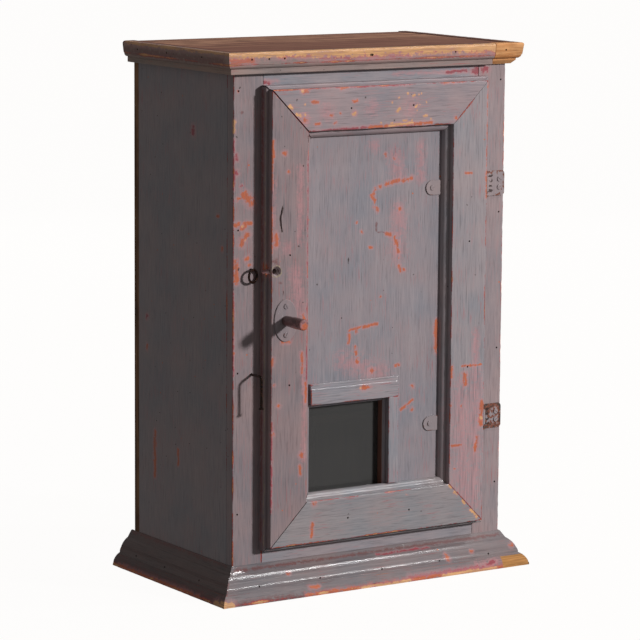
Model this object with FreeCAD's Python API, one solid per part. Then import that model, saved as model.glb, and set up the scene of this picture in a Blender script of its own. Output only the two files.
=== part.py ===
import FreeCAD, Part
import math
import os
from FreeCAD import Vector

# A small painted jelly cupboard: a nailed board case with a moulded base and cornice,
# and one door, a mitred moulded frame over a board, with a small window low on its left.
# Millimetres. X runs to the right, Y from front to back, Z up from the floor.

# Case boards
case_width = 547.0
case_depth = 326.0
total_height = 914.0
side_thick = 19.0
face_thick = 19.0
back_thick = 15.0
back_board_gap = 1.6
back_board_count = 3
top_thick = 19.0
top_sink = 1.0
bottom_thick = 19.0
stile_width = 57.0
top_rail_height = 42.0
bottom_rail_height = 59.0
opening_height = 87.0
arris = 1.3
arris_share = 0.2

# Shelves and the cleats that carry them
shelf_thick = 16.0
shelf_count = 3
shelf_setback = 28.0
shelf_side_gap = 0.8
cleat_height = 18.0
cleat_depth = 16.0
cleat_end_gap = 14.0

# Base moulding, its three rounds and its top slope as shares of its projection and of its height
base_height = 59.0
base_projection = 40.0
base_back_overhang = 8.0
base_toe_shares = ((0.0, 0.0), (1.0, 0.0), (1.0, 0.06), (0.98, 0.072))
base_lower_round_shares = ((0.895, 0.205), (0.765, 0.31))
base_step_share = (0.64, 0.363)
base_middle_round_shares = ((0.6275, 0.43), (0.5825, 0.502))
base_valley_share = (0.5725, 0.515)
base_upper_round_shares = ((0.46, 0.654), (0.26, 0.783))
base_slope_shares = ((0.235, 0.79), (0.08, 0.963))
base_top_round_shares = ((0.058, 0.983), (0.035, 0.996))
base_top_shares = ((0.03, 1.0), (0.0, 1.0))

# Cornice moulding
cornice_height = 36.5
cornice_projection = 22.5
cornice_foot = 12.5
cornice_foot_height = 9.5
cornice_foot_edge = 0.8
cornice_quirk = 1.2
cornice_lip = 0.9
cornice_fillet = 20.5
cornice_fillet_batter = 2.2
cornice_worn_edge = 3.2
cornice_patch_length = 59.0
cornice_patch_foot_edge = 6.5
cornice_joint_gap = 0.9
cornice_round_shares = (0.68, 0.34)

# Door frame moulding
door_lap_left = 5.0
door_lap_right = 9.0
door_lap_top = 6.0
door_lap_bottom = 6.0
frame_face = 72.0
frame_outer_flare = 6.0
frame_inner_flare = 11.5
frame_thick = 26.0
frame_standoff = 0.5
frame_edge = 1.5
frame_outer_step = 10.5
frame_inner_step = 9.0
frame_quirk = 3.0
frame_batter = 0.6
frame_ovolo_shares = (0.69, 0.31)
frame_lip = 12.0
mitre_gap_upper_left = 2.2
mitre_gap_lower_left = 1.3
mitre_gap_right = 0.5

# Door board and its window
panel_recess = 20.5
panel_thick = 20.0
window_left_margin = 4.5
window_under_rail = 4.5
window_width_share = 0.5597
window_height = 148.0
window_chamfer = 4.0
strip_thick = 9.0
strip_margin_top = 6.0
strip_margin_right = 6.0
strip_top_width = 35.0
strip_top_bevel = 9.5
strip_right_width = 20.0
strip_bevel_share = 0.85
strip_end_gap = 3.5
glass_thick = 2.5
glass_edge_gap = 1.0
glass_rebate_width = 8.0
glass_rebate_depth = 5.0
bead_depth = 6.0
bead_round = 3.5

# Strap hinges
hinge_upper_share = 0.7606
hinge_lower_share = 0.2368
hinge_axis_gap = 8.0
barrel_radius = 4.0
barrel_standoff = 0.7
knuckle_gap = 1.7
hinge_pin_radius = 2.5
hinge_pin_head_radius = 3.3
hinge_pin_head = 1.2
pin_clearance = 0.06
leaf_height = 43.0
leaf_width = 40.0
leaf_thick = 2.0
leaf_corner = 6.0
strap_height = 25.0
strap_length = 128.0
strap_thick = 2.0
strap_slot_gap = 0.1
leaf_screw_inset = 11.0
leaf_screw_spacing = 14.0

# Screws and nails
screw_head_radius = 4.6
screw_head_height = 1.4
screw_head_round = 0.8
screw_slot_width = 0.9
screw_slot_depth = 0.7
screw_radius = 1.7
screw_length = 14.0
nail_radius = 1.6
nail_set = 1.2
cornice_nail_length = 38.0
face_nail_length = 40.0
back_nail_length = 32.0
frame_nail_length = 30.0
seat_clearance = 0.05
leaf_screw_turn = math.radians(35.0)
strap_screw_turn = math.radians(-20.0)
plate_screw_turn = math.radians(62.0)

# How far cuts run past a face, and how near an edge lies to a face that it belongs to
overrun = 2.0
pick_gap = 0.05

# Oval plate, peg knob and the wooden latch bar that it turns
knob_from_door_edge = 33.5
knob_height = 470.0
plate_width = 45.0
plate_height = 71.0
plate_thick = 2.0
plate_edge = 1.2
plate_screw_spacing = 48.0
peg_radius = 9.5
peg_neck_radius = 8.3
peg_length = 55.0
peg_end_round = 3.0
peg_gap = 0.35
spindle_radius = 6.0
spindle_clearance = 0.08
spindle_proud = 3.0
latch_gap = 0.4
latch_boss_radius = 12.0
latch_stile_gap = 1.5
latch_width = 18.0
latch_thick = 10.0
latch_reach = 44.0
latch_tail = 12.0
latch_round = 3.0
latch_pin_radius = 1.4

# Cord hole bored through the corner of the door's left frame piece
cord_hole_height = 553.0
cord_hole_inset = 9.5
cord_hole_depth = 16.5
cord_hole_radius = 4.6
cord_hole_mouth_radius = 8.8
cord_hole_mouth_depth = 4.0

# Bowed check along the grain of the door's left frame piece
split_from_door_edge = 27.0
split_height = 640.0
split_length = 44.0
split_width = 2.5
split_tip = 0.4
split_bow = 3.5
split_depth = 5.0

# Iron ring eye, bent almost flat against the stile, and the bent nail that turns across the door
eye_from_case_edge = 34.2
eye_height = 545.0
eye_outer_radius = 12.6
eye_wire_radius = 2.0
eye_stem_radius = 1.8
eye_stand = 7.0
eye_shank_in = 15.0
eye_turn = math.radians(20.0)
turn_nail_from_case_edge = 36.5
turn_nail_height = 380.0
turn_nail_radius = 2.3
turn_nail_head_radius = 4.2
turn_nail_head_thick = 1.8
turn_nail_in = 16.0
turn_nail_front_gap = 2.4
turn_nail_bend = 6.0
turn_nail_arm = 52.0

# Where the nails stand along each piece
cornice_nail_shares = (0.04, 0.10, 0.155, 0.47, 0.78)
cornice_nail_drop_share = 0.58
patch_nail_share = 0.25
base_nail_shares = (0.07, 0.29, 0.52, 0.74, 0.93)
return_nail_shares = (0.2, 0.55, 0.85)
stile_nail_shares = (0.16, 0.42, 0.68, 0.93)
frame_nail_shares = (0.36, 0.64)
back_nail_shares = (0.06, 0.35, 0.65, 0.94)
back_nail_inset = 9.5

# Places worked out from the sizes above
half_width = case_width / 2
left = -half_width
right = half_width
reach_front = frame_standoff + frame_thick + plate_thick + peg_gap + peg_length
front = (max(reach_front, base_projection) - case_depth - base_back_overhang) / 2
face_back = front + face_thick
back = front + case_depth
back_inner = back - back_thick
top_under = total_height - top_sink - top_thick
opening_top = top_under - top_rail_height
inner_left = left + side_thick
inner_right = right - side_thick
cornice_under = total_height - cornice_height

door_left = left + stile_width - door_lap_left
door_right = right - stile_width + door_lap_right
door_bottom = opening_height - door_lap_bottom
door_top = opening_top + door_lap_top
frame_width = frame_outer_flare + frame_face + frame_inner_flare
door_front = front - frame_standoff - frame_thick
panel_front = door_front + panel_recess
panel_back = panel_front + panel_thick
frame_back = door_front + frame_thick

window_left = door_left + frame_width + window_left_margin
window_right = window_left + window_width_share * (door_right - door_left - 2 * frame_width)
window_bottom = door_bottom + frame_width - window_under_rail
window_top = window_bottom + window_height
glass_front = panel_back - glass_rebate_depth
glass_back = glass_front + glass_thick

hinge_x = door_right + hinge_axis_gap
hinge_y = front - barrel_radius - barrel_standoff
knob_x = door_left + knob_from_door_edge

# How far in from its square corner the middle of a quarter round lies, as a share of its radius
round_middle_share = 1 - math.sqrt(0.5)

ALONG_X = Vector(1, 0, 0)
ALONG_Y = Vector(0, 1, 0)
ALONG_Z = Vector(0, 0, 1)

nodes = {}


def block(x0, x1, y0, y1, z0, z1):
    return Part.makeBox(x1 - x0, y1 - y0, z1 - z0, Vector(x0, y0, z0))


def board(x0, x1, y0, y1, z0, z1):
    """A sawn board with every arris a little rounded."""
    solid = block(x0, x1, y0, y1, z0, z1)
    thinnest = min(x1 - x0, y1 - y0, z1 - z0)
    return solid.makeFillet(min(arris, arris_share * thinnest), solid.Edges)


def rod(start, direction, radius, length):
    return Part.makeCylinder(radius, length, start, direction)


def outline_face(origin, u_axis, v_axis, steps):
    """A flat face from points; a pair of points is an arc through the first to the second."""
    def place(point):
        return origin + u_axis * point[0] + v_axis * point[1]

    edges = []
    here = place(steps[0])
    for step in steps[1:] + steps[:1]:
        if isinstance(step[0], tuple):
            there = place(step[1])
            edges.append(Part.Arc(here, place(step[0]), there).toShape())
        else:
            there = place(step)
            edges.append(Part.LineSegment(here, there).toShape())
        here = there
    return Part.Face(Part.Wire(edges))


def plan_prism(corners, z0, z1):
    face = outline_face(Vector(0, 0, z0), ALONG_X, ALONG_Y, corners)
    return face.extrude(ALONG_Z * (z1 - z0))


def front_prism(corners, y0, y1):
    face = outline_face(Vector(0, y0, 0), ALONG_X, ALONG_Z, corners)
    return face.extrude(ALONG_Y * (y1 - y0))


def edges_where(solid, test):
    return [edge for edge in solid.Edges if test(edge)]


def drill(names, start, direction, radius, length):
    hole = rod(start, direction, radius, length)
    for name in names:
        nodes[name] = nodes[name].cut(hole)


def drive_nail(names, surface, direction, length):
    """One nail set a little under the surface, in the hole that it made."""
    drill(names, surface - direction * overrun, direction, nail_radius + seat_clearance,
          length + nail_set + overrun)
    return rod(surface + direction * nail_set, direction, nail_radius, length)


def drive_screw(names, surface, direction, turn):
    """One slotted screw, its head standing on the surface and its slot turned by an angle."""
    drill(names, surface - direction * overrun, direction, screw_radius + seat_clearance,
          screw_length + overrun)
    head = rod(surface - direction * screw_head_height, direction, screw_head_radius, screw_head_height)
    outer = edges_where(head, lambda edge: (edge.CenterOfMass - surface).dot(direction)
                        < -screw_head_height / 2 and edge.Curve.TypeId == "Part::GeomCircle")
    head = head.makeFillet(screw_head_round, outer)
    slot_length = 2 * (screw_head_radius + overrun)
    slot = block(-slot_length / 2, slot_length / 2, -screw_slot_depth, screw_slot_depth,
                 -screw_slot_width / 2, screw_slot_width / 2)
    slot.rotate(Vector(0, 0, 0), ALONG_Y, math.degrees(turn))
    slot.translate(surface - direction * screw_head_height)
    return head.cut(slot).fuse(rod(surface, direction, screw_radius, screw_length))


def build_case():
    nodes["side_left"] = board(left, inner_left, face_back, back_inner, 0, top_under)
    nodes["side_right"] = board(inner_right, right, face_back, back_inner, 0, top_under)
    nodes["bottom_board"] = board(inner_left, inner_right, face_back, back_inner,
                                  opening_height - bottom_thick, opening_height)
    nodes["top_board"] = board(left, right, front, back, top_under, top_under + top_thick)
    nodes["face_stile_left"] = board(left, left + stile_width, front, face_back, 0, top_under)
    nodes["face_stile_right"] = board(right - stile_width, right, front, face_back, 0, top_under)
    nodes["face_rail_top"] = board(left + stile_width, right - stile_width, front, face_back,
                                   opening_top, top_under)
    nodes["face_rail_bottom"] = board(left + stile_width, right - stile_width, front, face_back,
                                      opening_height - bottom_rail_height, opening_height)
    pitch = (case_width + back_board_gap) / back_board_count
    for index in range(back_board_count):
        start = left + index * pitch
        nodes["back_board_%d" % (index + 1)] = board(start, start + pitch - back_board_gap,
                                                     back_inner, back, 0, top_under)


def build_shelves():
    inside = top_under - opening_height
    pitch = inside / (shelf_count + 1)
    shelf_front = face_back + shelf_setback
    for index in range(shelf_count):
        top = opening_height + pitch * (index + 1)
        under = top - shelf_thick
        number = index + 1
        nodes["shelf_%d" % number] = board(inner_left + shelf_side_gap, inner_right - shelf_side_gap,
                                           shelf_front, back_inner, under, top)
        cleat_y = (shelf_front + cleat_end_gap, back_inner - cleat_end_gap)
        nodes["shelf_cleat_left_%d" % number] = board(inner_left, inner_left + cleat_depth, *cleat_y,
                                                      under - cleat_height, under)
        nodes["shelf_cleat_right_%d" % number] = board(inner_right - cleat_depth, inner_right, *cleat_y,
                                                       under - cleat_height, under)


def base_outline():
    def size(share):
        return (share[0] * base_projection, share[1] * base_height)

    def arc(shares):
        return tuple(size(share) for share in shares)

    return ([size(share) for share in base_toe_shares]
            + [arc(base_lower_round_shares), size(base_step_share), arc(base_middle_round_shares),
               size(base_valley_share), arc(base_upper_round_shares)]
            + [size(share) for share in base_slope_shares]
            + [arc(base_top_round_shares)]
            + [size(share) for share in base_top_shares])


def cornice_outline(foot_edge):
    """A foot with a worn lower edge, a round above it and a tall fillet that leans out."""
    start = (cornice_foot + cornice_quirk, cornice_foot_height)
    fillet_low = (cornice_projection - cornice_fillet_batter, cornice_height - cornice_fillet)
    end = (fillet_low[0] - cornice_lip, fillet_low[1])
    through = (start[0] + cornice_round_shares[0] * (end[0] - start[0]),
               start[1] + cornice_round_shares[1] * (end[1] - start[1]))
    worn = cornice_worn_edge
    worn_middle = worn * round_middle_share
    return [(0, 0), (cornice_foot - foot_edge, 0), (cornice_foot, foot_edge),
            (cornice_foot, cornice_foot_height), start, (through, end), fillet_low,
            (cornice_projection, cornice_height - worn),
            ((cornice_projection - worn_middle, cornice_height - worn_middle),
             (cornice_projection - worn, cornice_height)),
            (0, cornice_height)]


def moulding_run(outline, corner, outward, along, length, plan, z0, z1):
    """A moulding run past both ends, then cut to its plan with its mitres."""
    start = corner - along * length
    face = outline_face(start, outward, ALONG_Z, outline)
    return face.extrude(along * (3 * length)).common(plan_prism(plan, z0, z1))


def build_base():
    reach = base_projection + overrun
    rear = back + base_back_overhang
    front_plan = [(left - reach, front - reach), (right + reach, front - reach),
                  (right, front), (left, front)]
    left_plan = [(left - reach, front - reach), (left, front), (left, rear), (left - reach, rear)]
    right_plan = [(right + reach, front - reach), (right + reach, rear), (right, rear), (right, front)]
    shape = base_outline()
    span = (0, base_height)
    nodes["base_front"] = moulding_run(shape, Vector(left, front, 0), -ALONG_Y, ALONG_X, case_width,
                                       front_plan, *span)
    nodes["base_left"] = moulding_run(shape, Vector(left, front, 0), -ALONG_X, ALONG_Y, case_depth,
                                      left_plan, *span)
    nodes["base_right"] = moulding_run(shape, Vector(right, front, 0), ALONG_X, ALONG_Y, case_depth,
                                       right_plan, *span)


def build_cornice():
    reach = cornice_projection + overrun
    joint = right + cornice_projection - cornice_patch_length
    gap = cornice_joint_gap / 2
    front_plan = [(left - reach, front - reach), (joint - gap, front - reach),
                  (joint - gap, front), (left, front)]
    patch_plan = [(joint + gap, front - reach), (right + reach, front - reach),
                  (right, front), (joint + gap, front)]
    left_plan = [(left - reach, front - reach), (left, front), (left, back), (left - reach, back)]
    right_plan = [(right + reach, front - reach), (right + reach, back), (right, back), (right, front)]
    shape = cornice_outline(cornice_foot_edge)
    worn_shape = cornice_outline(cornice_patch_foot_edge)
    low = Vector(left, front, cornice_under)
    low_right = Vector(right, front, cornice_under)
    span = (cornice_under, total_height)
    nodes["cornice_front"] = moulding_run(shape, low, -ALONG_Y, ALONG_X, case_width, front_plan, *span)
    nodes["cornice_front_patch"] = moulding_run(worn_shape, low, -ALONG_Y, ALONG_X, case_width,
                                                patch_plan, *span)
    nodes["cornice_left"] = moulding_run(shape, low, -ALONG_X, ALONG_Y, case_depth, left_plan, *span)
    nodes["cornice_right"] = moulding_run(worn_shape, low_right, ALONG_X, ALONG_Y, case_depth,
                                          right_plan, *span)


def frame_outline():
    """Across the frame from its outer edge (u) and back from its front face (v)."""
    bend = round_middle_share
    outer_round = frame_outer_flare - frame_quirk - frame_batter
    inner_arris = frame_outer_flare + frame_face
    ovolo_start = (inner_arris + frame_batter + frame_quirk, frame_inner_step)
    ovolo_end = (frame_width, panel_recess)
    ovolo_middle = tuple(start + share * (end - start)
                         for start, end, share in zip(ovolo_start, ovolo_end, frame_ovolo_shares))
    return [(0, frame_thick), (0, frame_outer_step + outer_round),
            ((bend * outer_round, frame_outer_step + bend * outer_round), (outer_round, frame_outer_step)),
            (frame_outer_flare - frame_batter, frame_outer_step), (frame_outer_flare, frame_edge),
            ((frame_outer_flare + bend * frame_edge, bend * frame_edge), (frame_outer_flare + frame_edge, 0)),
            (inner_arris - frame_edge, 0),
            ((inner_arris - bend * frame_edge, bend * frame_edge), (inner_arris, frame_edge)),
            (inner_arris + frame_batter, frame_inner_step), ovolo_start, (ovolo_middle, ovolo_end),
            (frame_lip, panel_recess), (frame_lip, frame_thick)]


def build_door_frame():
    shape = frame_outline()
    diagonal = math.sqrt(2) / 2
    gap_ul = mitre_gap_upper_left * diagonal
    gap_ll = mitre_gap_lower_left * diagonal
    gap_r = mitre_gap_right * diagonal
    width = frame_width
    height = door_top - door_bottom
    breadth = door_right - door_left
    low_left = Vector(door_left, door_front, door_bottom)
    high_right = Vector(door_right, door_front, door_top)
    depth = (door_front - overrun, frame_back + overrun)
    bottom, top = door_bottom, door_top
    pieces = {
        "door_stile_left": (low_left, ALONG_X, ALONG_Z * height,
                            [(door_left, bottom + gap_ll), (door_left + width, bottom + width + gap_ll),
                             (door_left + width, top - width - gap_ul), (door_left, top - gap_ul)]),
        "door_stile_right": (high_right, -ALONG_X, -ALONG_Z * height,
                             [(door_right, bottom + gap_r), (door_right, top - gap_r),
                              (door_right - width, top - width - gap_r),
                              (door_right - width, bottom + width + gap_r)]),
        "door_rail_bottom": (low_left, ALONG_Z, ALONG_X * breadth,
                             [(door_left + gap_ll, bottom), (door_right - gap_r, bottom),
                              (door_right - width - gap_r, bottom + width),
                              (door_left + width + gap_ll, bottom + width)]),
        "door_rail_top": (high_right, -ALONG_Z, -ALONG_X * breadth,
                          [(door_left + gap_ul, top), (door_left + width + gap_ul, top - width),
                           (door_right - width - gap_r, top - width), (door_right - gap_r, top)]),
    }
    for name, (origin, across, run, corners) in pieces.items():
        face = outline_face(origin, across, ALONG_Y, shape)
        nodes[name] = face.extrude(run).common(front_prism(corners, *depth))


def bore_cord_hole():
    """An oblique bore from the face of the left frame piece out through its edge."""
    mouth = Vector(door_left + frame_outer_flare + cord_hole_inset, door_front, cord_hole_height)
    outlet = Vector(door_left, door_front + cord_hole_depth, cord_hole_height)
    line = outlet - mouth
    length = line.Length
    line.normalize()
    bore = rod(mouth - line * length, line, cord_hole_radius, 3 * length)
    funnel = Part.makeCone(cord_hole_mouth_radius, cord_hole_radius, cord_hole_mouth_depth, mouth, ALONG_Y)
    nodes["door_stile_left"] = nodes["door_stile_left"].cut(bore).cut(funnel)


def build_panel():
    panel = block(door_left + frame_lip, door_right - frame_lip, panel_front, panel_back,
                  door_bottom + frame_lip, door_top - frame_lip)
    panel = panel.cut(block(window_left, window_right, panel_front - overrun, panel_back + overrun,
                            window_bottom, window_top))
    rebate = glass_rebate_width
    panel = panel.cut(block(window_left - rebate, window_right + rebate, glass_front, panel_back + overrun,
                            window_bottom - rebate, window_top + rebate))
    seen = edges_where(panel, lambda edge: abs(edge.CenterOfMass.y - panel_front) < pick_gap
                       and (abs(edge.CenterOfMass.x - window_right) < pick_gap
                            or abs(edge.CenterOfMass.z - window_top) < pick_gap))
    nodes["door_panel"] = panel.makeChamfer(window_chamfer, seen)


def build_window():
    strip_left = door_left + frame_width + strip_end_gap
    strip_low = window_top + strip_margin_top
    strip_edge = window_right + strip_margin_right
    strip_front = panel_front - strip_thick
    outer_edge = strip_edge + strip_right_width
    top_strip = block(strip_left, outer_edge, strip_front, panel_front,
                      strip_low, strip_low + strip_top_width)
    bevel_depth = strip_bevel_share * strip_thick
    bevel = outline_face(Vector(strip_left - overrun, 0, 0), ALONG_Y, ALONG_Z,
                         [(strip_front, strip_low + strip_top_width - strip_top_bevel),
                          (strip_front + bevel_depth, strip_low + strip_top_width),
                          (strip_front + bevel_depth, strip_low + strip_top_width + overrun),
                          (strip_front - overrun, strip_low + strip_top_width + overrun),
                          (strip_front - overrun, strip_low + strip_top_width - strip_top_bevel)])
    top_strip = top_strip.cut(bevel.extrude(ALONG_X * (outer_edge - strip_left + 2 * overrun)))
    nodes["window_strip_top"] = top_strip
    rail_edge = door_bottom + frame_width
    nodes["window_strip_right"] = board(strip_edge, outer_edge, strip_front, panel_front,
                                        rail_edge, strip_low)

    rebate = glass_rebate_width
    outer = (window_left - rebate, window_right + rebate, window_bottom - rebate, window_top + rebate)
    gap = glass_edge_gap
    nodes["glass_pane"] = block(outer[0] + gap, outer[1] - gap, glass_front, glass_back,
                                outer[2] + gap, outer[3] - gap)
    bead_back = glass_back + bead_depth
    middle = Vector((window_left + window_right) / 2, bead_back, (window_bottom + window_top) / 2)
    beads = {
        "left": (outer[0], window_left, window_bottom, window_top),
        "right": (window_right, outer[1], window_bottom, window_top),
        "bottom": (outer[0], outer[1], outer[2], window_bottom),
        "top": (outer[0], outer[1], window_top, outer[3]),
    }
    for side, (x0, x1, z0, z1) in beads.items():
        bead = block(x0, x1, glass_back, bead_back, z0, z1)
        rear = edges_where(bead, lambda edge: abs(edge.CenterOfMass.y - bead_back) < pick_gap)
        inner = min(rear, key=lambda edge: (edge.CenterOfMass - middle).Length)
        nodes["glazing_bead_" + side] = bead.makeFillet(bead_round, [inner])


def build_hinge(place, height):
    axis = Vector(hinge_x, hinge_y, 0)
    low = height - leaf_height / 2
    strap_low = height - strap_height / 2
    barrel = rod(axis + ALONG_Z * low, ALONG_Z, barrel_radius, leaf_height)
    leaf = block(hinge_x, hinge_x + leaf_width, front - leaf_thick, front, low, low + leaf_height)
    corners = edges_where(leaf, lambda edge: edge.BoundBox.XMin > hinge_x + leaf_width - pick_gap
                          and edge.BoundBox.ZLength < pick_gap)
    leaf = leaf.makeFillet(leaf_corner, corners)
    gap = knuckle_gap
    room = rod(axis + ALONG_Z * (strap_low - gap), ALONG_Z, barrel_radius + gap, strap_height + 2 * gap)
    bore = rod(axis + ALONG_Z * (low - overrun), ALONG_Z, hinge_pin_radius + pin_clearance,
               leaf_height + 2 * overrun)
    beside = block(hinge_x - barrel_radius, hinge_x, front - leaf_thick, front,
                   strap_low, strap_low + strap_height)
    nodes["hinge_leaf_" + place] = leaf.fuse(barrel).cut(room).cut(bore).cut(beside)

    strap_front = panel_front - strap_thick
    tip = hinge_x - strap_length
    nose = tip + strap_height / 2
    strap = block(nose, hinge_x, strap_front, panel_front, strap_low, strap_low + strap_height)
    strap = strap.fuse(rod(Vector(nose, strap_front, height), ALONG_Y, strap_height / 2, strap_thick))
    knuckle = rod(axis + ALONG_Z * strap_low, ALONG_Z, barrel_radius, strap_height)
    nodes["hinge_strap_" + place] = strap.fuse(knuckle).cut(bore).removeSplitter()

    slot = strap_slot_gap
    mortise = block(tip, hinge_x, strap_front - slot, panel_front + slot,
                    strap_low - slot, strap_low + strap_height + slot)
    nodes["door_stile_right"] = nodes["door_stile_right"].cut(mortise)

    pin = rod(axis + ALONG_Z * low, ALONG_Z, hinge_pin_radius, leaf_height)
    for end in (low - hinge_pin_head, low + leaf_height):
        pin = pin.fuse(rod(axis + ALONG_Z * end, ALONG_Z, hinge_pin_head_radius, hinge_pin_head))
    nodes["hinge_pin_" + place] = pin.removeSplitter()

    screw_x = hinge_x + leaf_width - leaf_screw_inset
    leaf_screws = []
    for side in (-1, 1):
        spot = Vector(screw_x, front - leaf_thick, height + side * leaf_screw_spacing / 2)
        leaf_screws.append(drive_screw(["hinge_leaf_" + place, "face_stile_right"], spot, ALONG_Y,
                                       side * leaf_screw_turn))
    spot = Vector(nose, strap_front, height)
    strap_screw = drive_screw(["hinge_strap_" + place, "door_panel"], spot, ALONG_Y, strap_screw_turn)
    return leaf_screws, strap_screw


def build_hinges():
    leaf_screws = []
    strap_screws = []
    for place, share in (("upper", hinge_upper_share), ("lower", hinge_lower_share)):
        height = door_bottom + share * (door_top - door_bottom)
        on_leaf, on_strap = build_hinge(place, height)
        leaf_screws.extend(on_leaf)
        strap_screws.append(on_strap)
    nodes["leaf_screws"] = Part.makeCompound(leaf_screws)
    nodes["strap_screws"] = Part.makeCompound(strap_screws)


def build_knob():
    centre = Vector(knob_x, door_front, knob_height)
    major = ALONG_Z * (plate_height / 2)
    minor = ALONG_X * (plate_width / 2)
    rim = Part.Ellipse(centre + major, centre + minor, centre).toShape()
    plate = Part.Face(Part.Wire([rim])).extrude(-ALONG_Y * plate_thick)
    face_y = door_front - plate_thick
    shown = edges_where(plate, lambda edge: abs(edge.CenterOfMass.y - face_y) < pick_gap)
    nodes["escutcheon_plate"] = plate.makeFillet(plate_edge, shown)

    bar_front = face_back + latch_stile_gap
    bar_back = bar_front + latch_thick
    shoulder = door_front - plate_thick - peg_gap
    end = shoulder - peg_length
    belly = (shoulder + end) / 2
    bend = peg_end_round * round_middle_share
    outline = [(0, end), (peg_radius - peg_end_round, end),
               ((peg_radius - bend, end + bend), (peg_radius, end + peg_end_round)),
               (peg_radius, belly), (peg_neck_radius, shoulder), (spindle_radius, shoulder),
               (spindle_radius, bar_back + spindle_proud), (0, bar_back + spindle_proud)]
    axis_point = Vector(knob_x, 0, knob_height)
    section = outline_face(axis_point, ALONG_X, ALONG_Y, outline)
    peg = section.revolve(axis_point, ALONG_Y, math.degrees(2 * math.pi))

    bore = rod(centre - ALONG_Y * (plate_thick + overrun), ALONG_Y, spindle_radius + spindle_clearance,
               panel_back - door_front + plate_thick + 2 * overrun)
    for name in ("escutcheon_plate", "door_stile_left", "door_panel"):
        nodes[name] = nodes[name].cut(bore)

    bar = block(knob_x - latch_width / 2, knob_x + latch_width / 2, bar_front, bar_back,
                knob_height - latch_reach, knob_height + latch_tail)
    ends = edges_where(bar, lambda edge: abs(edge.CenterOfMass.y - (bar_front + bar_back) / 2) < pick_gap)
    bar = bar.makeFillet(latch_round, ends)
    boss_front = panel_back + latch_gap
    boss = rod(Vector(knob_x, boss_front, knob_height), ALONG_Y, latch_boss_radius, bar_back - boss_front)
    seat = rod(Vector(knob_x, boss_front - overrun, knob_height), ALONG_Y, spindle_radius + seat_clearance,
               bar_back - boss_front + 2 * overrun)
    nodes["latch_bar"] = bar.fuse(boss).cut(seat).removeSplitter()
    nodes["knob_peg"] = peg
    pin_start = Vector(knob_x - latch_boss_radius, (bar_front + bar_back) / 2, knob_height)
    pin_length = 2 * latch_boss_radius
    drill(("latch_bar", "knob_peg"), pin_start - ALONG_X * overrun, ALONG_X,
          latch_pin_radius + seat_clearance, pin_length + 2 * overrun)
    nodes["latch_pin"] = rod(pin_start, ALONG_X, latch_pin_radius, pin_length)

    screws = []
    for side in (-1, 1):
        spot = Vector(knob_x, door_front - plate_thick, knob_height + side * plate_screw_spacing / 2)
        screws.append(drive_screw(["escutcheon_plate", "door_stile_left"], spot, ALONG_Y,
                                  side * plate_screw_turn))
    nodes["escutcheon_screws"] = Part.makeCompound(screws)


def split_frame():
    """A bowed check, a narrow lens that opened along the grain."""
    x = door_left + split_from_door_edge
    low = split_height - split_length / 2
    high = split_height + split_length / 2
    half = split_width / 2
    lens = [(x, low), ((x - split_bow - half, split_height), (x, high)), (x + split_tip, high),
            ((x - split_bow + half, split_height), (x + split_tip, low))]
    opened = front_prism(lens, door_front - overrun, door_front + split_depth)
    nodes["door_stile_left"] = nodes["door_stile_left"].cut(opened)


def build_screw_eye():
    """A ring that stands just off the stile, held by a stem at its crown."""
    centre = Vector(left + eye_from_case_edge, front - eye_stand, eye_height)
    ring_radius = eye_outer_radius - eye_wire_radius
    facing = Vector(math.sin(eye_turn), -math.cos(eye_turn), 0)
    ring = Part.makeTorus(ring_radius, eye_wire_radius, centre, facing)
    crown = centre + ALONG_Z * ring_radius
    stem_length = eye_stand + eye_shank_in
    nodes["screw_eye"] = ring.fuse(rod(crown, ALONG_Y, eye_stem_radius, stem_length))
    drill(["face_stile_left"], crown, ALONG_Y, eye_stem_radius + seat_clearance, stem_length)


def build_turn_nail():
    """A long nail driven part way in and bent at right angles, hanging down beside the door."""
    x = left + turn_nail_from_case_edge
    arm_y = door_front - turn_nail_front_gap - turn_nail_radius
    start = Vector(x, front + turn_nail_in, turn_nail_height)
    bend_start = Vector(x, arm_y + turn_nail_bend, turn_nail_height)
    cut_corner = turn_nail_bend * round_middle_share
    bend_middle = Vector(x, arm_y + cut_corner, turn_nail_height - cut_corner)
    bend_end = Vector(x, arm_y, turn_nail_height - turn_nail_bend)
    tip = Vector(x, arm_y, turn_nail_height - turn_nail_arm)
    path = Part.Wire([Part.LineSegment(start, bend_start).toShape(),
                      Part.Arc(bend_start, bend_middle, bend_end).toShape(),
                      Part.LineSegment(bend_end, tip).toShape()])
    ring = Part.Wire([Part.makeCircle(turn_nail_radius, start, ALONG_Y)])
    nail = path.makePipeShell([ring], True, False)
    head = rod(tip, -ALONG_Z, turn_nail_head_radius, turn_nail_head_thick)
    nodes["turn_nail"] = nail.fuse(head)
    drill(["face_stile_left"], start, -ALONG_Y, turn_nail_radius + pin_clearance, turn_nail_in + overrun)


def nail_cornice():
    nails = []
    height = total_height - cornice_nail_drop_share * cornice_fillet
    depth = cornice_projection - cornice_nail_drop_share * cornice_fillet_batter
    for share in cornice_nail_shares:
        spot = Vector(left + share * case_width, front - depth, height)
        nails.append(drive_nail(["cornice_front", "top_board"], spot, ALONG_Y, cornice_nail_length))
    patch_spot = Vector(right - patch_nail_share * cornice_patch_length, front - depth, height)
    nails.append(drive_nail(["cornice_front_patch", "top_board"], patch_spot, ALONG_Y, cornice_nail_length))
    for side, x, inward in (("left", left - depth, ALONG_X), ("right", right + depth, -ALONG_X)):
        for share in return_nail_shares:
            spot = Vector(x, front + share * case_depth, height)
            nails.append(drive_nail(["cornice_" + side, "top_board"], spot, inward, cornice_nail_length))
    nodes["cornice_nails"] = Part.makeCompound(nails)


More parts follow.
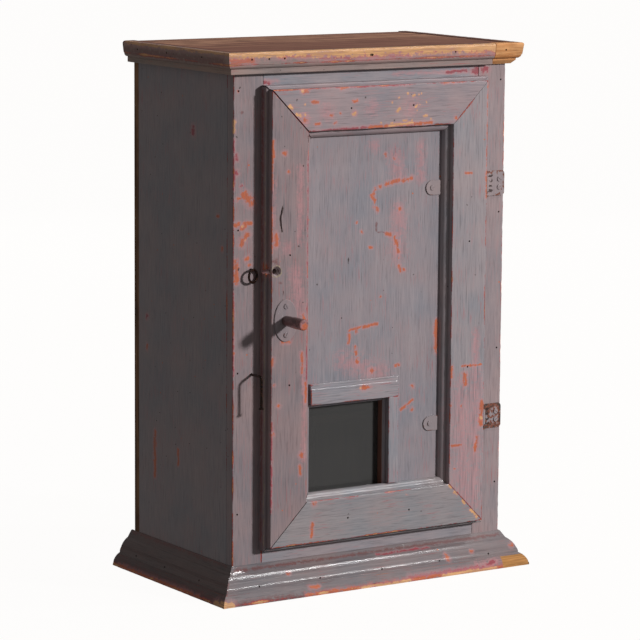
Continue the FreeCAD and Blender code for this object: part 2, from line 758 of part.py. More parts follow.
def nail_base():
    nails = []
    swell = base_middle_round_shares[0]
    depth = swell[0] * base_projection
    height = swell[1] * base_height
    for share in base_nail_shares:
        spot = Vector(left + share * case_width, front - depth, height)
        carriers = ["base_front", "face_stile_left", "face_stile_right", "face_rail_bottom"]
        nails.append(drive_nail(carriers, spot, ALONG_Y, depth + face_thick - nail_set - overrun))
    for side, x, inward in (("left", left - depth, ALONG_X), ("right", right + depth, -ALONG_X)):
        for share in return_nail_shares:
            spot = Vector(x, front + share * case_depth, height)
            nails.append(drive_nail(["base_" + side, "side_" + side], spot, inward,
                                    depth + side_thick - nail_set - overrun))
    nodes["base_nails"] = Part.makeCompound(nails)


def nail_face():
    nails = []
    for side, x in (("left", left + side_thick / 2), ("right", right - side_thick / 2)):
        for share in stile_nail_shares:
            spot = Vector(x, front, share * total_height)
            nails.append(drive_nail(["face_stile_" + side, "side_" + side], spot, ALONG_Y, face_nail_length))
    nodes["face_nails"] = Part.makeCompound(nails)


def nail_back():
    nails = []
    for index in range(back_board_count):
        name = "back_board_%d" % (index + 1)
        box = nodes[name].BoundBox
        for x in (box.XMin + back_nail_inset, box.XMax - back_nail_inset):
            into = "side_left" if x < inner_left else "side_right" if x > inner_right else None
            heights = [share * top_under for share in back_nail_shares]
            targets = [into] * len(heights)
            if into is None:
                targets = ["shelf_%d" % (number + 1) for number in range(shelf_count)]
                heights = [nodes[target].BoundBox.Center.z for target in targets]
            for target, height in zip(targets, heights):
                spot = Vector(x, back, height)
                nails.append(drive_nail([name, target], spot, -ALONG_Y, back_nail_length))
    nodes["back_nails"] = Part.makeCompound(nails)


def nail_door_frame():
    nails = []
    inset = frame_outer_flare + frame_face / 2
    for name, x in (("door_stile_left", door_left + inset), ("door_stile_right", door_right - inset)):
        for share in frame_nail_shares:
            spot = Vector(x, door_front, door_bottom + share * (door_top - door_bottom))
            nails.append(drive_nail([name, "door_panel"], spot, ALONG_Y, frame_nail_length))
    for name, z in (("door_rail_bottom", door_bottom + inset), ("door_rail_top", door_top - inset)):
        for share in frame_nail_shares:
            spot = Vector(door_left + share * (door_right - door_left), door_front, z)
            nails.append(drive_nail([name, "door_panel"], spot, ALONG_Y, frame_nail_length))
    nodes["frame_nails"] = Part.makeCompound(nails)


def main():
    build_case()
    build_shelves()
    build_base()
    build_cornice()
    build_door_frame()
    build_panel()
    build_window()
    build_hinges()
    build_knob()
    build_screw_eye()
    build_turn_nail()
    bore_cord_hole()
    split_frame()
    nail_cornice()
    nail_base()
    nail_face()
    nail_back()
    nail_door_frame()
    os.makedirs("parts", exist_ok=True)
    for name, shape in nodes.items():
        solids = shape.Solids
        volume = sum(solid.Volume for solid in solids)
        print("%-22s solids %2d volume %12.1f valid %s" % (name, len(solids), volume, shape.isValid()))
        shape.exportStep("parts/" + name + ".step")
    print(len(nodes), "nodes")


main()
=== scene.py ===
# %% [markdown]
# # A small painted jelly cupboard
# The cupboard is a nailed pine case with a moulded base and cornice, and one framed door with
# a small window low on its left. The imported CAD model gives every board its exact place. This
# lesson loads it, sets up the view and the light, and then works through the finishes: old
# grey-lilac paint over red and salmon coats, bare pine, iron, glass. The mouldings and the
# door frame are then copied and chewed along their arrises, as a century of use does.

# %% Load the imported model
import math

import bpy
from mathutils import Matrix, Vector, noise


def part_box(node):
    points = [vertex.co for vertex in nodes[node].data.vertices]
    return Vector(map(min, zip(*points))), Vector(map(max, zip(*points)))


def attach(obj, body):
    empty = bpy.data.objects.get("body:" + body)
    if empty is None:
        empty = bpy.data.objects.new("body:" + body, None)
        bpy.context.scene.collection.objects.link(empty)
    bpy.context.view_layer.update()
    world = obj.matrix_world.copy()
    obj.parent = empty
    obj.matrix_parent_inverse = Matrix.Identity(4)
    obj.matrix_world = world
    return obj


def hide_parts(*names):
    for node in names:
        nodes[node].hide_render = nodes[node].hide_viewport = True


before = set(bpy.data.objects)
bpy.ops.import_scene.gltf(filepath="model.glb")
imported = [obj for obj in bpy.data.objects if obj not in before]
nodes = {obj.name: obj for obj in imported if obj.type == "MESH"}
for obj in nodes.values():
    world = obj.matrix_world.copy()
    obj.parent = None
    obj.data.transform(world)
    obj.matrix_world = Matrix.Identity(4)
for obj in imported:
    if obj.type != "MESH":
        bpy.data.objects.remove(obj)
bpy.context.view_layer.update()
bpy.ops.object.select_all(action="DESELECT")

# %% [markdown]
# ## The camera
# The cupboard is seen from its left front corner, a little from above, through a long lens.
# The angles and the distance were fitted to the corners of the real piece. The camera's axes
# are built one by one, so the slight roll of the picture is kept too.

# %% Camera
heading = math.radians(-33.088)
height_angle = math.radians(8.776)
roll = math.radians(0.428)
forward = Vector((-math.sin(heading) * math.cos(height_angle),
                  math.cos(heading) * math.cos(height_angle), -math.sin(height_angle)))
level = Vector((math.cos(heading), math.sin(heading), 0))
above = level.cross(forward)
across = level * math.cos(roll) + above * math.sin(roll)
upward = above * math.cos(roll) - level * math.sin(roll)
bpy.ops.object.camera_add(location=(-2.984023, -4.547181, 1.275583))
camera = bpy.context.object
camera.name = "view"
turn = Matrix((across, upward, -forward)).transposed().to_4x4()
camera.matrix_world = Matrix.Translation(camera.location) @ turn
camera.data.sensor_width = 36.0
camera.data.lens = 179.6
bpy.context.scene.camera = camera
print("camera at", [round(value, 3) for value in camera.location])

# %% [markdown]
# ## One function for nodes and one for colours
# Every finish below is a small tree of shader nodes. One function adds a node, sets it and
# links it. Colours are written as sRGB hex values, as a paint card gives them, and turned to
# the linear values that the shader works in.


# %% Node and colour helpers
def wire(tree, made, sockets):
    """Link what another node gives, and set what is a plain value."""
    for socket, value in sockets.items():
        if isinstance(value, bpy.types.NodeSocket):
            tree.links.new(value, made.inputs[socket])
        else:
            made.inputs[socket].default_value = value


def node(tree, kind, links=None, out=0, **settings):
    made = tree.nodes.new("ShaderNode" + kind)
    for name, value in settings.items():
        setattr(made, name, value)
    wire(tree, made, links or {})
    return made.outputs[out]


# A Mix node set for colours gives them at its third output
rgba = {"out": 2, "data_type": "RGBA"}
mm_per_m = 1000.0


def linear(hex_colour):
    parts = [int(hex_colour[place:place + 2], 16) / 255 for place in (1, 3, 5)]
    return tuple(part / 12.92 if part <= 0.04045 else ((part + 0.055) / 1.055) ** 2.4
                 for part in parts) + (1.0,)


def new_finish(name):
    material = bpy.data.materials.new(name)
    material.use_nodes = True
    return material, material.node_tree, material.node_tree.nodes["Principled BSDF"]


def millimetres(tree):
    """Where a spot lies on the cupboard, in millimetres."""
    place = node(tree, "TexCoord", out="Object")
    return node(tree, "VectorMath", {0: place, "Scale": mm_per_m}, operation="SCALE")


print("mid grey is", [round(part, 3) for part in linear("#808080")])

# %% [markdown]
# ## Floor and light
# A plain pale floor and four lamps. The key stands at the front right and a little high: it
# lights the front, throws the door's shadow to the left and leaves the left side in shade. At
# its full strength it would burn white lines into the gloss, so gloss doesn't see it, and sees
# a weaker lamp in the same place instead. A small lamp higher up draws the thin lines of light
# along the base's rounds, and a wide one behind lifts the back. The floor glows a little so
# that it stays pale. It neither bounces light nor shows in the paint's gloss, so that it
# doesn't wash out the shaded side.

# %% Floor and light
bpy.ops.mesh.primitive_plane_add(size=80.0)
floor = bpy.context.object
floor.name = "studio_floor"
# Matt paper sweep: a pale even ground with no shine
material, tree, shader = new_finish("pale_floor")
wire(tree, shader, {"Base Color": linear("#161616"), "Roughness": 1.0,
                    "Emission Color": linear("#fdfcfb"), "Emission Strength": 0.99})
floor.data.materials.append(material)
floor.visible_diffuse = False
floor.visible_glossy = False

aim = Vector((0.0, -0.05, 0.45))
# Name, direction from the aim, distance and size in metres, watts, whether gloss sees it
lamps = (("key", (0.72, -1.0, 0.44), 10.0, 0.9, 785.0, False),
         ("shine", (0.72, -1.0, 0.44), 10.0, 0.9, 225.0, True),
         ("glint", (0.54, -0.27, 0.80), 5.0, 0.25, 42.0, True),
         ("back_fill", (0.55, 1.0, 0.35), 5.0, 3.0, 70.0, False))
for name, direction, distance, size, power, in_gloss in lamps:
    toward = Vector(direction).normalized()
    bpy.ops.object.light_add(type="AREA", location=aim + toward * distance)
    lamp = bpy.context.object
    lamp.name = name
    lamp.data.size = size
    lamp.data.energy = power
    lamp.visible_glossy = in_gloss
    lamp.rotation_euler = toward.to_track_quat("Z", "Y").to_euler()

world = bpy.data.worlds.new("studio")
bpy.context.scene.world = world
world.use_nodes = True
sky = world.node_tree.nodes["Background"]
wire(world.node_tree, sky, {"Color": linear("#fffaf8"), "Strength": 0.175})
bpy.context.scene.view_settings.view_transform = "Standard"
print(len(lamps), "lamps and an even sky over a pale floor")

# %% [markdown]
# ## Old paint over pine
# Oil paint, brushed on in several coats over a century: pine, then salmon, then crimson, then
# a grey-lilac top coat. The softer wood between the grain lines has sunk, so the paint shows
# fine ridges along each board. Where hands and feet rub, the coats come off in order, first
# to crimson, then salmon, then bare pine. So the finish is built from the same coats, and one
# number, how worn a spot is, picks the coat. That number comes from how near a spot is to a
# board's arris, from marks placed one by one, and from noise that makes both ragged.

# %% Colours of the coats
# Top coat, the coats under it, bare wood, dirt in several depths, iron. The dirt coat also
# paints shade in a crack, a hole and hinge slots, and the rim coat a highlight on the door's edge
coat = {"blue": "#86868d", "lilac": "#978c8f", "pale": "#a89fa1", "groove": "#564c4f",
        "crimson": "#98404a", "pink": "#bc8689", "salmon": "#bd6541",
        "bare": "#d4a274", "mend": "#b5824f", "inside": "#9a7350",
        "dirt": "#33241f", "stain": "#764846", "rim": "#a3947f", "soil": "#7a5143",
        "rust": "#7c4836", "steel": "#4b423f"}
coat = {name: linear(value) for name, value in coat.items()}
# Grain lines and brush lines are drawn a little coarser than real, so that they show
fibre_mm, brush_mm = 1.9, 8.0
cloud_mm, patch_mm, chip_mm, rust_mm = 80.0, 48.0, 3.6, 6.0
warp_mm, wander_mm, gap_mm = 13.0, 7.0, 8.0
stretch = {"x": (0.045, 1.0, 1.0), "y": (1.0, 0.045, 1.0), "z": (1.0, 1.0, 0.045)}
print("coats:", sorted(coat))


# %% Distances that say how worn a spot is
def nearness(tree, mm, arrises, box, reach):
    """1 on an arris, falling to 0 at its reach, from lines and from the edges of a box."""
    worn = -1.0
    for point, direction, width in arrises:
        away = node(tree, "VectorMath", {0: mm, 1: point}, operation="SUBTRACT")
        off = node(tree, "VectorMath", {0: away, 1: direction}, operation="CROSS_PRODUCT")
        gap = node(tree, "VectorMath", {0: off}, "Value", operation="LENGTH")
        near = node(tree, "Math", {0: gap, 1: -1.0 / width, 2: 1.0}, operation="MULTIPLY_ADD")
        worn = node(tree, "Math", {0: worn, 1: near}, operation="MAXIMUM")
    if box:
        inward = box_depth(tree, mm, *box)
        small = node(tree, "Math", {0: inward[0], 1: inward[1]}, operation="MINIMUM")
        large = node(tree, "Math", {0: inward[0], 1: inward[1]}, operation="MAXIMUM")
        inner = node(tree, "Math", {0: large, 1: inward[2]}, operation="MINIMUM")
        second = node(tree, "Math", {0: small, 1: inner}, operation="MAXIMUM")
        near = node(tree, "Math", {0: second, 1: -1.0 / reach, 2: 1.0}, operation="MULTIPLY_ADD")
        worn = node(tree, "Math", {0: worn, 1: near}, operation="MAXIMUM")
    return worn


def box_depth(tree, mm, low, high):
    """How far a spot lies inside each pair of faces of a box."""
    middle = (Vector(low) + Vector(high)) / 2
    half = (Vector(high) - Vector(low)) / 2
    away = node(tree, "VectorMath", {0: mm, 1: middle}, operation="SUBTRACT")
    size = node(tree, "VectorMath", {0: away}, operation="ABSOLUTE")
    depth = node(tree, "VectorMath", {0: half, 1: size}, operation="SUBTRACT")
    return [node(tree, "SeparateXYZ", {0: depth}, axis) for axis in ("X", "Y", "Z")]


def marks_field(tree, mm, marks):
    """1 in the middle of a mark, 0 at its rim; a row is start, end, width and a ring's radius."""
    field = -1.0
    for start, end, width, radius in marks:
        if start == end:
            gap = node(tree, "VectorMath", {0: mm, 1: start}, "Value", operation="DISTANCE")
        else:
            stroke = Vector(end) - Vector(start)
            away = node(tree, "VectorMath", {0: mm, 1: start}, operation="SUBTRACT")
            share = node(tree, "VectorMath", {0: away, 1: stroke / stroke.length_squared}, "Value",
                         operation="DOT_PRODUCT")
            share = node(tree, "Math", {0: share, 1: 1.0}, operation="MULTIPLY", use_clamp=True)
            foot = node(tree, "VectorMath", {0: stroke, "Scale": share}, operation="SCALE")
            gap = node(tree, "VectorMath", {0: away, 1: foot}, "Value", operation="DISTANCE")
        if radius:
            gap = node(tree, "Math", {0: gap, 1: radius}, operation="SUBTRACT")
            gap = node(tree, "Math", {0: gap}, operation="ABSOLUTE")
        near = node(tree, "Math", {0: gap, 1: -1.0 / width, 2: 1.0}, operation="MULTIPLY_ADD")
        field = node(tree, "Math", {0: field, 1: near}, operation="MAXIMUM")
    return field


print("distances from arrises, boxes and marks")


# %% Patterns in the paint
def paint_patterns(tree, mm, grain, metal):
    """Grain and brush lines along the board, clouds, chips, rubbed patches and gaps."""
    along = node(tree, "VectorMath", {0: mm, 1: stretch[grain]}, operation="MULTIPLY")
    rubbed_mm = rust_mm if metal else patch_mm
    kinds = {"fibre": (along, fibre_mm, {"Detail": 3.0, "Roughness": 0.65, "Distortion": 0.25}),
             "brush": (along, brush_mm, {"Detail": 2.0}),
             "cloud": (mm, cloud_mm, {"Detail": 3.0}),
             "chip": (mm, chip_mm, {"Detail": 4.0, "Roughness": 0.68}),
             "patch": (mm, rubbed_mm, {"Detail": 2.0}),
             "gap": (mm, gap_mm, {"Detail": 2.0})}
    return {name: node(tree, "TexNoise", {"Vector": vector, "Scale": 1 / size, **more})
            for name, (vector, size, more) in kinds.items()}


def top_coat(tree, pattern, ridges, tint):
    """Bluer and pinker clouds, paler brush lines, crimson on the ridges, dark in the grooves."""
    rubbed = node(tree, "MapRange", {
        "Value": pattern["patch"], "From Min": 0.42, "From Max": 0.68, "To Min": 0.03, "To Max": 0.6})
    colour = coat["blue"]
    for kind, low, high, cover, layer in (
            ("cloud", 0.32, 0.66, 1.0, "lilac"), ("brush", 0.5, 0.75, 0.25, "pale"),
            ("fibre", 0.5, 0.66, 0.45 * ridges, "pale"), ("fibre", 0.56, 0.66, ridges, "crimson"),
            ("fibre", 0.45, 0.3, 0.46 * ridges, "groove")):
        mask = node(tree, "MapRange", {
            "Value": pattern[kind], "From Min": low, "From Max": high, "To Max": cover})
        if layer == "crimson":
            mask = node(tree, "Math", {0: mask, 1: rubbed}, operation="MULTIPLY")
        colour = node(tree, "Mix", {0: mask, 6: colour, 7: coat[layer]}, **rgba)
    return node(tree, "Mix", {0: 1.0, 6: colour, 7: linear(tint)}, blend_type="MULTIPLY", **rgba)


print("patterns and top coat ready, the finest lines", fibre_mm, "mm apart")


# %% How worn a spot is, and how ragged a mark
def wear_of(tree, mm, pattern, arrises, box, reach):
    """Nearness to an arris, chips cut into the mesh, and noise that breaks both up."""
    chipped = node(tree, "Attribute", out="Fac", attribute_name="chipped")
    worn = nearness(tree, mm, arrises, box, reach)
    for part, weight in ((chipped, 1.2), (pattern["patch"], 2.6), (pattern["chip"], 1.5)):
        worn = node(tree, "Math", {0: part, 1: weight, 2: worn}, operation="MULTIPLY_ADD")
    return worn


def mark_edges(tree, mm, pattern):
    """Marks wander a little from the line that they were given, and break along it."""
    swirl = node(tree, "TexNoise", {"Vector": mm, "Scale": 1 / warp_mm, "Detail": 3.0}, "Color")
    swirl = node(tree, "VectorMath", {0: swirl, 1: (0.5, 0.5, 0.5)}, operation="SUBTRACT")
    swirl = node(tree, "VectorMath", {0: swirl, "Scale": wander_mm}, operation="SCALE")
    wandered = node(tree, "VectorMath", {0: mm, 1: swirl}, operation="ADD")
    ragged = node(tree, "Math", {0: pattern["chip"], 1: 1.7, 2: -0.85}, operation="MULTIPLY_ADD")
    gaps = node(tree, "MapRange", {
        "Value": pattern["gap"], "From Min": 0.54, "From Max": 0.66, "To Max": -0.5})
    return wandered, node(tree, "Math", {0: ragged, 1: gaps}, operation="ADD")


print("marks wander by up to", wander_mm / 2, "mm")

# %% The coats that show through
# Coat, the wear at which it shows (None for marks only), how softly it starts, how far it covers
wear_order = (("pink", None, 0.9, 0.62), ("stain", None, 0.7, 0.75), ("crimson", 2.9, 0.14, 0.85),
              ("salmon", 3.16, 0.12, 0.92), ("bare", 3.45, 0.14, 1.0), ("rim", None, 0.3, 0.8),
              ("dirt", None, 0.2, 0.9))
under_metal = {"crimson": "rust", "salmon": "rust", "bare": "steel"}
mark_rim, mark_soft, bare_mark_soft = 0.12, 0.42, 0.2


def worn_coats(tree, top, worn, edges, pattern, shade, marks, wear, metal):
    """Each coat in turn, where the wear has reached it and where a mark was placed."""
    colour, height = top
    wandered, ragged = edges
    kept = node(tree, "MapRange", {
        "Value": pattern["fibre"], "From Min": 0.34, "From Max": 0.44, "To Min": 0.3})
    for layer, start, width, cover in wear_order:
        under = coat[under_metal.get(layer, layer) if metal else layer][:3]
        under = node(tree, "VectorMath", {0: under, "Scale": shade}, operation="SCALE")
        if start:
            mask = node(tree, "MapRange", {"Value": worn, "From Min": start - wear,
                                           "From Max": start + width - wear, "To Max": cover})
            colour = node(tree, "Mix", {0: mask, 6: colour, 7: under}, **rgba)
            height = node(tree, "Math", {0: mask, 1: -0.12, 2: height}, operation="MULTIPLY_ADD")
        if layer in marks:
            field = marks_field(tree, wandered, marks[layer])
            field = node(tree, "Math", {0: field, 1: ragged}, operation="ADD")
            if start:
                halo = node(tree, "MapRange", {
                    "Value": field, "From Min": -0.7, "From Max": 0.4, "To Max": 0.5})
                colour = node(tree, "Mix", {0: halo, 6: colour, 7: coat["pink"]}, **rgba)
            soft = max(width, bare_mark_soft if layer == "bare" else mark_soft)
            field = node(tree, "MapRange", {
                "Value": field, "From Min": mark_rim, "From Max": mark_rim + soft, "To Max": cover})
            field = node(tree, "Math", {0: field, 1: kept}, operation="MULTIPLY")
            colour = node(tree, "Mix", {0: field, 6: colour, 7: under}, **rgba)
    return colour, height, mask


print("coats from the top down:", [row[0] for row in wear_order if row[1]])

# %% Flecks, unpainted faces and gloss
# Cell in mm, the largest fleck as a share of it, coat, depth
fleck_kinds = ((27.0, 0.07, "salmon", -0.1), (21.0, 0.055, "dirt", -0.6))


def flecks(tree, mm, colour, height):
    """Small salmon flecks and dark pits, each in a cell of its own."""
    for cell_mm, largest, layer, depth in fleck_kinds:
        cells = node(tree, "TexVoronoi", {"Vector": mm, "Scale": 1 / cell_mm}).node
        chance = node(tree, "SeparateColor", {0: cells.outputs["Color"]})
        size = node(tree, "Math", {0: chance, 1: 3.0}, operation="POWER")
        size = node(tree, "Math", {0: size, 1: largest}, operation="MULTIPLY")
        spot = node(tree, "Math", {0: cells.outputs["Distance"], 1: size}, operation="LESS_THAN")
        colour = node(tree, "Mix", {0: spot, 6: colour, 7: coat[layer]}, **rgba)
        height = node(tree, "Math", {0: spot, 1: depth, 2: height}, operation="MULTIPLY_ADD")
    return colour, height


def unpainted(tree, mm, colour, bare, shade, plain):
    """Faces that never saw paint, each given as a box and the wood in it."""
    for low, high, wood_name in plain:
        depths = box_depth(tree, mm, low, high)
        least = node(tree, "Math", {0: depths[0], 1: depths[1]}, operation="MINIMUM")
        least = node(tree, "Math", {0: least, 1: depths[2]}, operation="MINIMUM")
        within = node(tree, "Math", {0: least, 1: 0.0}, operation="GREATER_THAN")
        wood = node(tree, "VectorMath", {0: coat[wood_name][:3], "Scale": shade}, operation="SCALE")
        colour = node(tree, "Mix", {0: within, 6: colour, 7: wood}, **rgba)
        bare = node(tree, "Math", {0: bare, 1: within}, operation="MAXIMUM")
    return colour, bare


def paint_gloss(tree, mm, brush, bare, rough, dull):
    """Smooth along brush lines, duller on bare wood and in the bands that feet have scuffed."""
    gloss = node(tree, "MapRange", {
        "Value": brush, "From Min": 0.3, "From Max": 0.7, "To Min": rough, "To Max": rough * 1.4})
    gloss = node(tree, "Math", {0: bare, 1: 0.35, 2: gloss}, operation="MULTIPLY_ADD")
    for axis, low, high, soft in dull:
        off = node(tree, "SeparateXYZ", {0: mm}, axis)
        off = node(tree, "Math", {0: off, 1: (low + high) / 2}, operation="SUBTRACT")
        off = node(tree, "Math", {0: off}, operation="ABSOLUTE")
        scuffed = node(tree, "MapRange", {"Value": off, "From Min": (high - low) / 2 + soft,
                                          "From Max": (high - low) / 2 - soft, "To Max": 0.4})
        gloss = node(tree, "Math", {0: gloss, 1: scuffed}, operation="ADD")
    return gloss


print(len(fleck_kinds), "kinds of fleck")


# %% The painted finish
def painted(name, grain, arrises=(), box=None, reach=5.0, marks=None, plain=(), ridges=1.0,
            wear=0.0, tint="#ffffff", metal=False, rough=0.3, dull=()):
    # Old oil paint, brushed on: a satin skin that follows the grain, with older coats in its wear
    material, tree, shader = new_finish(name)
    mm = millimetres(tree)
    pattern = paint_patterns(tree, mm, grain, metal)
    height = node(tree, "Math", {0: pattern["fibre"], 1: 0.26 * ridges}, operation="MULTIPLY")
    shade = node(tree, "MapRange", {
        "Value": pattern["fibre"], "From Min": 0.3, "From Max": 0.7, "To Min": 0.62, "To Max": 1.15})
    top = (top_coat(tree, pattern, ridges, tint), height)
    worn = wear_of(tree, mm, pattern, arrises, box, reach)
    edges = mark_edges(tree, mm, pattern)
    colour, height, bare = worn_coats(tree, top, worn, edges, pattern, shade, marks or {}, wear, metal)
    colour, height = flecks(tree, mm, colour, height)
    colour, bare = unpainted(tree, mm, colour, bare, shade, plain)
    gloss = paint_gloss(tree, mm, pattern["brush"], bare, rough, dull)
    bump = node(tree, "Bump", {"Height": height, "Distance": 0.001, "Strength": 0.85})
    wire(tree, shader, {"Base Color": colour, "Roughness": gloss, "Normal": bump})
    return material


print("painted finish ready")

# %% [markdown]
# ## Where the paint has gone
# The salmon strokes on the door's board, the rubbed arris by the hinges, the chips at the
# mitres: each is a spot, or a stroke from one spot to another, in millimetres, with its width.
# They are listed piece by piece, with the arrises that hands reach. A few dark marks paint
# the shade in a crack and a hole, and one pale line paints a highlight on the door's edge.


# %% Places on the cupboard
def box_mm(name):
    low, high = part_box(name)
    return low * mm_per_m, high * mm_per_m


left, front = box_mm("face_stile_left")[0].x, box_mm("face_stile_left")[0].y
right = box_mm("face_stile_right")[1].x
door_low, door_high = box_mm("door_stile_left")[0], box_mm("door_stile_right")[1]
face_y, panel_y = door_low.y, box_mm("door_panel")[0].y
panel_back = box_mm("door_panel")[1].y
strip_low = box_mm("window_strip_top")[0]
top_z = box_mm("cornice_front")[1].z
toe = front - box_mm("base_front")[0].y
lip = front - box_mm("cornice_front")[0].y
# From the door's outline in to the outer and the inner arris of its frame
frame_out, frame_in = 6.0, 78.0
# The small steps in the mouldings: how far they stand out, and their height
cornice_step, cornice_step_z = 20.3, 893.5
base_step, base_step_z = 30.6, 18.3
# Faces without paint: two corners of a box that reaches a little past them, and the wood there
margin = 0.6
inner_low, inner_high = box_mm("bottom_board")
inside_box = ((inner_low.x - margin, inner_low.y - margin, inner_low.z - margin),
              (inner_high.x + margin, inner_high.y + margin, box_mm("top_board")[0].z + margin), "inside")
door_back = ((door_low.x, panel_back - margin, door_low.z),
             (door_high.x, panel_back + 40, door_high.z), "inside")
dusty_top = ((left - 13, front - 13, top_z - 0.7), (right + 13, front + 400, top_z + 5), "soil")
repair = ((257, front - toe - 2, -2), (330, front + 1, 18.6), "mend")
reveal = ((21.9, panel_y + margin, 150), (23.1, panel_back + 1, 330), "soil")
print("case front", round(front, 2), "door front", round(face_y, 2), "board front", round(panel_y, 2))


# %% Helpers for marks in millimetres
def spots(y, *places):
    """Spots (x, z, width) and strokes (x, z, x, z, width) on a plane that faces front."""
    made = []
    for place in places:
        start = (place[0], y, place[1])
        end = (place[2], y, place[3]) if len(place) == 5 else start
        made.append((start, end, place[-1], 0.0))
    return made


def strokes(*places):
    """Strokes (x, out, z, x, out, z, width) on a moulding, out from the case's front."""
    return [((x, front - out, z), (far_x, front - far_out, far_z), width, 0.0)
            for x, out, z, far_x, far_out, far_z, width in places]


def run(start, end, width):
    """One stroke from a place on the cupboard to another."""
    return [(start, end, width, 0.0)]


print("a spot becomes", spots(0, (1, 2, 3)))

# %% Marks on the door frame
marks = {}
marks["door_stile_left"] = {
    "salmon": spots(
        face_y, (-214, 769, -213, 744, 3.5), (-191, 747, 5.5), (-183, 716, 4), (-207, 612, -207, 598, 6),
        (-213, 408, -213, 397, 4), (-194, 436, -180, 434, 4.5), (-155, 412, -155, 380, 3.5),
        (-147, 362, -147, 330, 3.5), (-201, 328, 5), (-210, 363, 3), (-153, 477, -150, 460, 3.5),
        (-154, 240, 7), (-157, 222, -157, 208, 4), (-212, 280, 5), (-205, 841, 3), (-194, 843, 3),
        (-215.5, 745, -215.5, 690, 3), (-215.5, 660, -215.5, 585, 3))
    + run((door_low.x, face_y + 8, 550), (door_low.x, face_y + 15, 560), 9),
    "pink": run((door_low.x, face_y + 20, 100), (door_low.x, face_y + 20, 850), 8)
    + spots(
        face_y, (-170, 550, -167, 538, 11), (-162, 510, -159, 495, 11), (-170, 548, -160, 495, 24),
        (-160, 520, -158, 480, 14), (-209, 600, 16), (-185, 590, 18), (-150, 330, -150, 230, 10),
        (-212, 700, -212, 600, 8), (-160, 720, -160, 600, 12), (-155, 412, -150, 330, 9)),
    "crimson": spots(
        face_y, (-143.5, 748, -143.5, 540, 3.2), (-144, 500, -146, 345, 2.4),
        (-214, 300, -214, 150, 2.4)),
    "stain": spots(face_y, (-207, 568, 10), (-198, 533, 4.5))
    + run((door_low.x, face_y + 20, 100), (door_low.x, face_y + 20, 850), 6),
    "rim": [((-206, face_y, 553), (-206, face_y, 553), 1.8, 9.8)]
    # the pale line along the door's edge is a painted highlight, where a fillet catches the light
    + run((door_low.x, face_y + 12, 90), (door_low.x, face_y + 12, 850), 1.6),
    "dirt": spots(
        face_y, (-198, 808, 1.8), (-155, 725, 2.0), (-163, 593, 2.6), (-154, 499, 2.0), (-167, 382, 2.0),
        # the two strokes from 661 down to 619 widen the split: painted shade of the crack
        (-193, 520, -193, 505, 1.2), (-195, 661, -198, 640, 2.6), (-198, 640, -195, 619, 2.6),
        (-160, 800, -160, 788, 1.1), (-145, 776, -145, 764, 1.1))
    # the wide dark spot inside the cord hole is painted shade in the bore
    + run((-206, face_y + 8, 553), (-206, face_y + 8, 553), 13)}
marks["door_rail_top"] = {
    "pink": spots(
        face_y, (-12, 815, 8), (-110, 810, 26), (-20, 815, 24), (60, 812, 30), (-150, 800, 18),
        (-200, 857, 215, 857, 8)),
    "crimson": spots(
        face_y, (-137, 780, -24, 783, 3.4), (-118, 853, 60, 851, 2.6), (120, 852, 170, 853, 3)),
    "salmon": spots(
        face_y, (-138, 829, -128, 829, 4), (-55, 827, -50, 828, 4), (-82, 808, 3),
        (-131, 791, -124, 792, 3.4), (-157, 846, -148, 847, 5), (-81, 849, -68, 850, 3.6), (-54, 807, 5),
        (-100, 806, 4), (-93, 792, 3.6), (-154, 801, 8), (-24, 783, 102, 785, 4), (153, 791, 5),
        (128, 852, 146, 853, 4)),
    "bare": spots(
        face_y, (-152, 826, 2.4), (-183, 824, -178, 820, 3.4), (-168, 810, -162, 808, 3.2),
        (-152, 808, 2.8), (-57, 805, -53, 807, 3.4), (-158, 846, 3.4), (53, 836, 2.4),
        (64, 831, 67, 833, 2.4), (75, 833, 2), (80, 834, 2), (35, 830, 2.4), (20, 822, 2.2),
        (69, 814, 72, 816, 2.4), (77, 817, 2.2), (91, 821, 2.2), (31, 808, 36, 811, 3), (73, 807, 2),
        (86, 796, 91, 798, 3), (66, 796, 2), (99, 792, 2), (43, 792, 50, 792, 2.2), (61, 790, 2),
        (-1, 789, 2), (18, 788, 22, 788, 2.2), (16, 784, 62, 786, 2.8)),
    "dirt": spots(face_y, (-169, 834, 2.4), (-33, 833, 2.6), (25, 792, 2.6), (126, 796, 2))}
marks["door_rail_bottom"] = {
    "salmon": spots(face_y, (-129, 155, 6), (-133, 121, -134, 98, 4), (20, 160, 30, 160, 4)),
    "bare": spots(
        face_y, (148, 157, 153, 152, 2.2), (160, 144, 165, 139, 3), (176, 127, 182, 121, 2.2),
        (195, 108, 208, 95, 3.8), (60, 150, 2.6)),
    "dirt": spots(face_y, (-60, 130, 2.2), (90, 118, 2.2))}
marks["door_stile_right"] = {
    "salmon": spots(
        face_y, (219.5, 850, 219.5, 705, 3), (219, 697, 219, 652, 4), (215, 296, 213, 258, 6.5),
        (205, 235, 202, 212, 4.2), (150, 226, 172, 224, 3.2), (174, 696, 186, 695, 2.8), (148, 297, 3.2),
        (177, 348, 179, 330, 6), (172, 293, 3), (160, 185, 2.6), (172, 363, 212, 363, 2.6),
        (150, 362, 150, 345, 3.6)),
    "pink": spots(
        face_y, (172, 310, 180, 130, 50), (200, 345, 200, 120, 30), (166, 300, 175, 230, 26),
        (150, 205, 184, 206, 4), (170, 178, 212, 176, 6), (178, 164, 206, 163, 4),
        (196, 153, 210, 152, 3.6), (199, 141, 212, 141, 4.6), (152, 262, 205, 258, 5),
        (155, 240, 200, 242, 4), (200, 420, 200, 330, 14)),
    "bare": spots(face_y, (214, 268, 4)),
    "dirt": spots(face_y, (178, 640, 2), (196, 520, 1.8), (170, 400, 2))}
print("marks on", sorted(marks))

